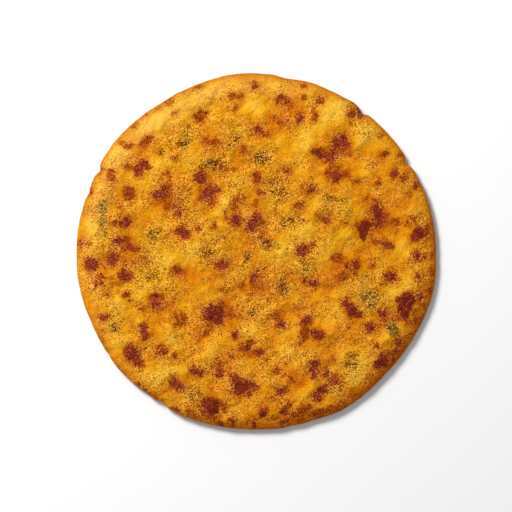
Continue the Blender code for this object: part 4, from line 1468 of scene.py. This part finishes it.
    def fine(self, x: Array, y: Array, edge: Array) -> Array:
        """Read the fine relief: small lumps, pits, and flat blisters at the browned spots.

        Args:
            x: places along X.
            y: places along Y.
            edge: how far from a browned spot's edge they are.

        Returns:
            The height above the plainer top.
        """
        along = (x + y) * DIAGONAL / self.rolled
        across = (y - x) * DIAGONAL
        height = sum(rise * smooth_noise(along, across, size, layer)
                     for size, rise, layer in self.wrinkles)
        pits = np.array([noise.voronoi(Vector((a, b, 0.0)))[0][0]
                         for a, b in zip(x / self.pit_spacing, y / self.pit_spacing)])
        depth = np.clip(1.0 - np.square(pits / self.pit_reach), 0.0, 1.0)
        blister = np.clip(self.blister_middle - edge / self.blister_reach, 0.0, 1.0)
        return height - self.pit_depth * depth + self.blister_rise * blister

    def fit(self, places: Array) -> Array:
        """Centre the crust on the solid and fit it to the solid's box.

        Args:
            places: rows of x, y and z.

        Returns:
            The fitted places, in metres.
        """
        self.own_low = places.min(axis=0)
        self.own_high = places.max(axis=0)
        return self.place(places)

    def place(self, places: Array) -> Array:
        """Carry places from the tables' millimetres to the solid's frame in metres."""
        share = (places - self.own_low) / (self.own_high - self.own_low)
        return (self.low + share * (self.high - self.low)) * MM

    def surface(self, x: Array, y: Array) -> Array:
        """Find the finished top over flat places.

        Args:
            x: places along X, in millimetres.
            y: places along Y, in millimetres.

        Returns:
            The places on the top, as rows of metres.
        """
        angles = np.arctan2(y, x)
        inset = self.form.outline(angles) - np.hypot(x, y)
        edge, _ = self.top_spots.read(x, y)
        height = self.top_height(x, y, angles, inset, edge)
        return self.place(np.stack([x, y, height], axis=1))


@dataclass(frozen=True)
class FleckFinish:
    """Small bits in the dough, whose tone runs from one colour to another bit by bit."""

    name: str
    tones: Ramp
    roughness: float
    specular: float = 0.02
    grain: Row = (0.35, 3.0, 0.6)
    tone_shares: Row = (0.85, 0.6, -0.23)
    bump_depth: float = 0.05
    bump_strength: float = 0.5

    def material(self) -> bpy.types.Material:
        """Build the finish as a material.

        Returns:
            The material.
        """
        desk = ShaderDesk(self.name)
        fine = desk.noise(desk.millimetres(), *self.grain)
        tone = desk.total((desk.attribute("tone"), fine), self.tone_shares)
        desk.bump(fine, self.bump_depth, self.bump_strength)
        return desk.dress(desk.ramp(tone, self.tones), self.roughness, self.specular)


@dataclass
class Flecks:
    """Joined small bits that lie half sunk in the top.

    A place gives x, y and the bit's tone. The sizes are in millimetres, and what depends on the
    size of a bit is given as a share of it.
    """

    name: str
    crust: Crust
    finish: FleckFinish
    places: list[Place]
    sizes: Pair
    flatness: float
    corners: int
    seed: int
    tilt: float = 0.15
    narrowing: Pair = (0.45, 0.9)
    foot: float = 0.5
    head: float = 0.38
    jitter: float = 0.10
    tone_spread: float = 0.5

    def build(self) -> bpy.types.Object:
        """Model every bit and join them in one piece.

        Returns:
            The finished piece.
        """
        draw = random.Random(self.seed)
        spots = np.array(self.places)
        ground = self.crust.surface(spots[:, 0], spots[:, 1])
        highest = self.crust.high[2] * MM
        bits = bmesh.new()
        tones = []
        for place, hue in zip(ground.tolist(), spots[:, 2].tolist()):
            size = draw.uniform(*self.sizes) * MM
            tilt = Euler((draw.gauss(0.0, self.tilt), draw.gauss(0.0, self.tilt),
                          draw.uniform(0.0, math.tau)))
            stretch = Matrix.Diagonal((1.0, draw.uniform(*self.narrowing), 1.0, 1.0))
            matrix = Matrix.Translation(place) @ tilt.to_matrix().to_4x4() @ stretch
            made = bmesh.ops.create_cone(bits, cap_ends=True, cap_tris=False,
                                         segments=self.corners, radius1=size * self.foot,
                                         radius2=size * self.head,
                                         depth=size * self.flatness, matrix=matrix)
            jitter = size * self.jitter
            for vertex in made["verts"]:
                vertex.co.x += draw.uniform(-jitter, jitter)
                vertex.co.y += draw.uniform(-jitter, jitter)
                vertex.co.z = min(vertex.co.z, highest)
            tones += [draw.uniform(0.0, self.tone_spread) + hue] * len(made["verts"])
        bmesh.ops.triangulate(bits, faces=bits.faces[:])
        return finished(bits, self.name, self.finish.material(), {"tone": np.array(tones)})


@dataclass(frozen=True)
class HerbScatter:
    """Scatters leaf bits over the places with herbs.

    The thickness is in bits for each square millimetre of a full place.
    """

    thickness: float = 0.95
    spread: float = 0.24
    green_tone: float = 0.5
    seed: int = 5

    def places(self) -> list[Place]:
        """Draw the bits.

        Returns:
            Flat places in millimetres, and how green each bit is.
        """
        draw = random.Random(self.seed)
        places = []
        for x, y, length, width, turn, amount, green in HERBS:
            lean = math.radians(turn)
            for _ in range(round(self.thickness * length * width * amount)):
                u = draw.gauss(0.0, length * self.spread)
                v = draw.gauss(0.0, width * self.spread)
                places.append((x + u * math.cos(lean) - v * math.sin(lean),
                               y + u * math.sin(lean) + v * math.cos(lean),
                               green * self.green_tone))
        return places


@dataclass(frozen=True)
class SpiceScatter:
    """Scatters spice grains over the whole top, thicker in some places."""

    tries: int = 1900
    reach: float = 80.0
    cloud_size: float = 9.0
    cloud_layer: float = 11.0
    even_share: float = 0.5
    pale_tone: float = 0.5
    seed: int = 8

    def places(self) -> list[Place]:
        """Draw the grains.

        Returns:
            Flat places in millimetres, and how pale each grain is.
        """
        draw = random.Random(self.seed)
        places = []
        for _ in range(self.tries):
            distance = self.reach * math.sqrt(draw.random())
            angle = draw.uniform(0.0, math.tau)
            x = distance * math.cos(angle)
            y = distance * math.sin(angle)
            where = Vector((x / self.cloud_size, y / self.cloud_size, self.cloud_layer))
            if draw.random() < self.even_share + noise.noise(where):
                places.append((x, y, draw.uniform(0.0, self.pale_tone)))
        return places


@dataclass
class Studio:
    """A pale floor, soft daylight from the upper left and the camera overhead."""

    form: BreadForm
    photo_size: float = 512.0
    bread_pixel: Pair = (256.5, 250.5)
    mm_per_pixel: float = 0.4735
    lens: float = 250.0
    sensor: float = 36.0
    floor_radius: float = 4.0
    floor_corners: int = 96
    floor_drop: float = 0.05
    floor_tone: Colour = linear(236, 236, 236)
    floor_roughness: float = 0.85
    floor_specular: float = 0.1
    sky: float = 0.42
    sky_tone: Colour = (1.0, 1.0, 1.0, 1.0)
    key_power: float = 17.8
    key_size: float = 0.42
    key_distance: float = 1.2
    key_azimuth: float = 131.0
    key_elevation: float = 43.0

    def build(self) -> None:
        """Make the floor, the lights and the camera."""
        self.floor()
        self.key_light()
        self.skylight()
        self.camera()

    def floor(self) -> None:
        """Lay a wide pale floor just under the bread."""
        disc = bmesh.new()
        sunk = Matrix.Translation((0.0, 0.0, -self.floor_drop * MM))
        bmesh.ops.create_circle(disc, cap_ends=True, segments=self.floor_corners,
                                radius=self.floor_radius, matrix=sunk)
        desk = ShaderDesk("pale_floor")
        finish = desk.dress(self.floor_tone, self.floor_roughness, self.floor_specular)
        floor = finished(disc, "floor", finish, {})

    def key_light(self) -> None:
        """Shine a soft key from the upper left."""
        azimuth = math.radians(self.key_azimuth)
        elevation = math.radians(self.key_elevation)
        direction = Vector((math.cos(azimuth) * math.cos(elevation),
                            math.sin(azimuth) * math.cos(elevation),
                            math.sin(elevation)))
        light = bpy.data.lights.new("key", "AREA")
        light.shape = "DISK"
        light.size = self.key_size
        light.energy = self.key_power
        key = bpy.data.objects.new("key", light)
        key.location = direction * self.key_distance
        key.rotation_euler = direction.to_track_quat("Z", "Y").to_euler()
        bpy.context.scene.collection.objects.link(key)

    def skylight(self) -> None:
        """Light everything evenly, and show colours as they are."""
        world = bpy.data.worlds.new("sky")
        world.use_nodes = True
        background = world.node_tree.nodes["Background"]
        background.inputs["Color"].default_value = self.sky_tone
        background.inputs["Strength"].default_value = self.sky
        scene = bpy.context.scene
        scene.world = world
        scene.view_settings.view_transform = "Standard"
        scene.view_settings.look = "None"

    def camera(self) -> None:
        """Hang the camera straight over the middle of the picture."""
        middle_x, middle_y = self.form.middle()
        centre = self.photo_size / 2
        x = (centre - self.bread_pixel[0]) * self.mm_per_pixel - middle_x
        y = (self.bread_pixel[1] - centre) * self.mm_per_pixel - middle_y
        width = self.photo_size * self.mm_per_pixel * MM
        data = bpy.data.cameras.new("overhead")
        data.lens = self.lens
        data.sensor_width = self.sensor
        camera = bpy.data.objects.new("overhead", data)
        height = width * self.lens / self.sensor + self.form.rim_height * MM
        camera.location = (x * MM, y * MM, height)
        bpy.context.scene.collection.objects.link(camera)
        bpy.context.scene.camera = camera


def main() -> None:
    """Build the finished bread and the studio round it."""
    form = BreadForm()
    crust = Crust(form)
    herb_finish = FleckFinish("chopped_herb", (
        (0.00, linear(48, 14, 0)),
        (0.30, linear(78, 34, 0)),
        (0.55, linear(108, 64, 2)),
        (0.80, linear(92, 78, 12)),
        (1.00, linear(128, 114, 34)),
    ), roughness=0.6)
    spice_finish = FleckFinish("ground_spice", (
        (0.00, linear(66, 28, 0)),
        (0.50, linear(112, 58, 2)),
        (1.00, linear(168, 98, 14)),
    ), roughness=0.65)
    shell = crust.build(DoughFinish())
    herbs = Flecks("herb_flecks", crust, herb_finish, HerbScatter().places(),
                   sizes=(0.50, 0.95), flatness=0.25, corners=6, seed=6)
    spice = Flecks("spice_grains", crust, spice_finish, SpiceScatter().places(),
                   sizes=(0.25, 0.7), flatness=0.45, corners=5, seed=9)
    pieces = [shell, herbs.build(), spice.build()]
    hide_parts("roti")
    for piece in pieces:
        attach(piece, "root")
        log.info("%s: %d faces", piece.name, len(piece.data.polygons))
    Studio(form).build()


if __name__ == "__main__":
    main()
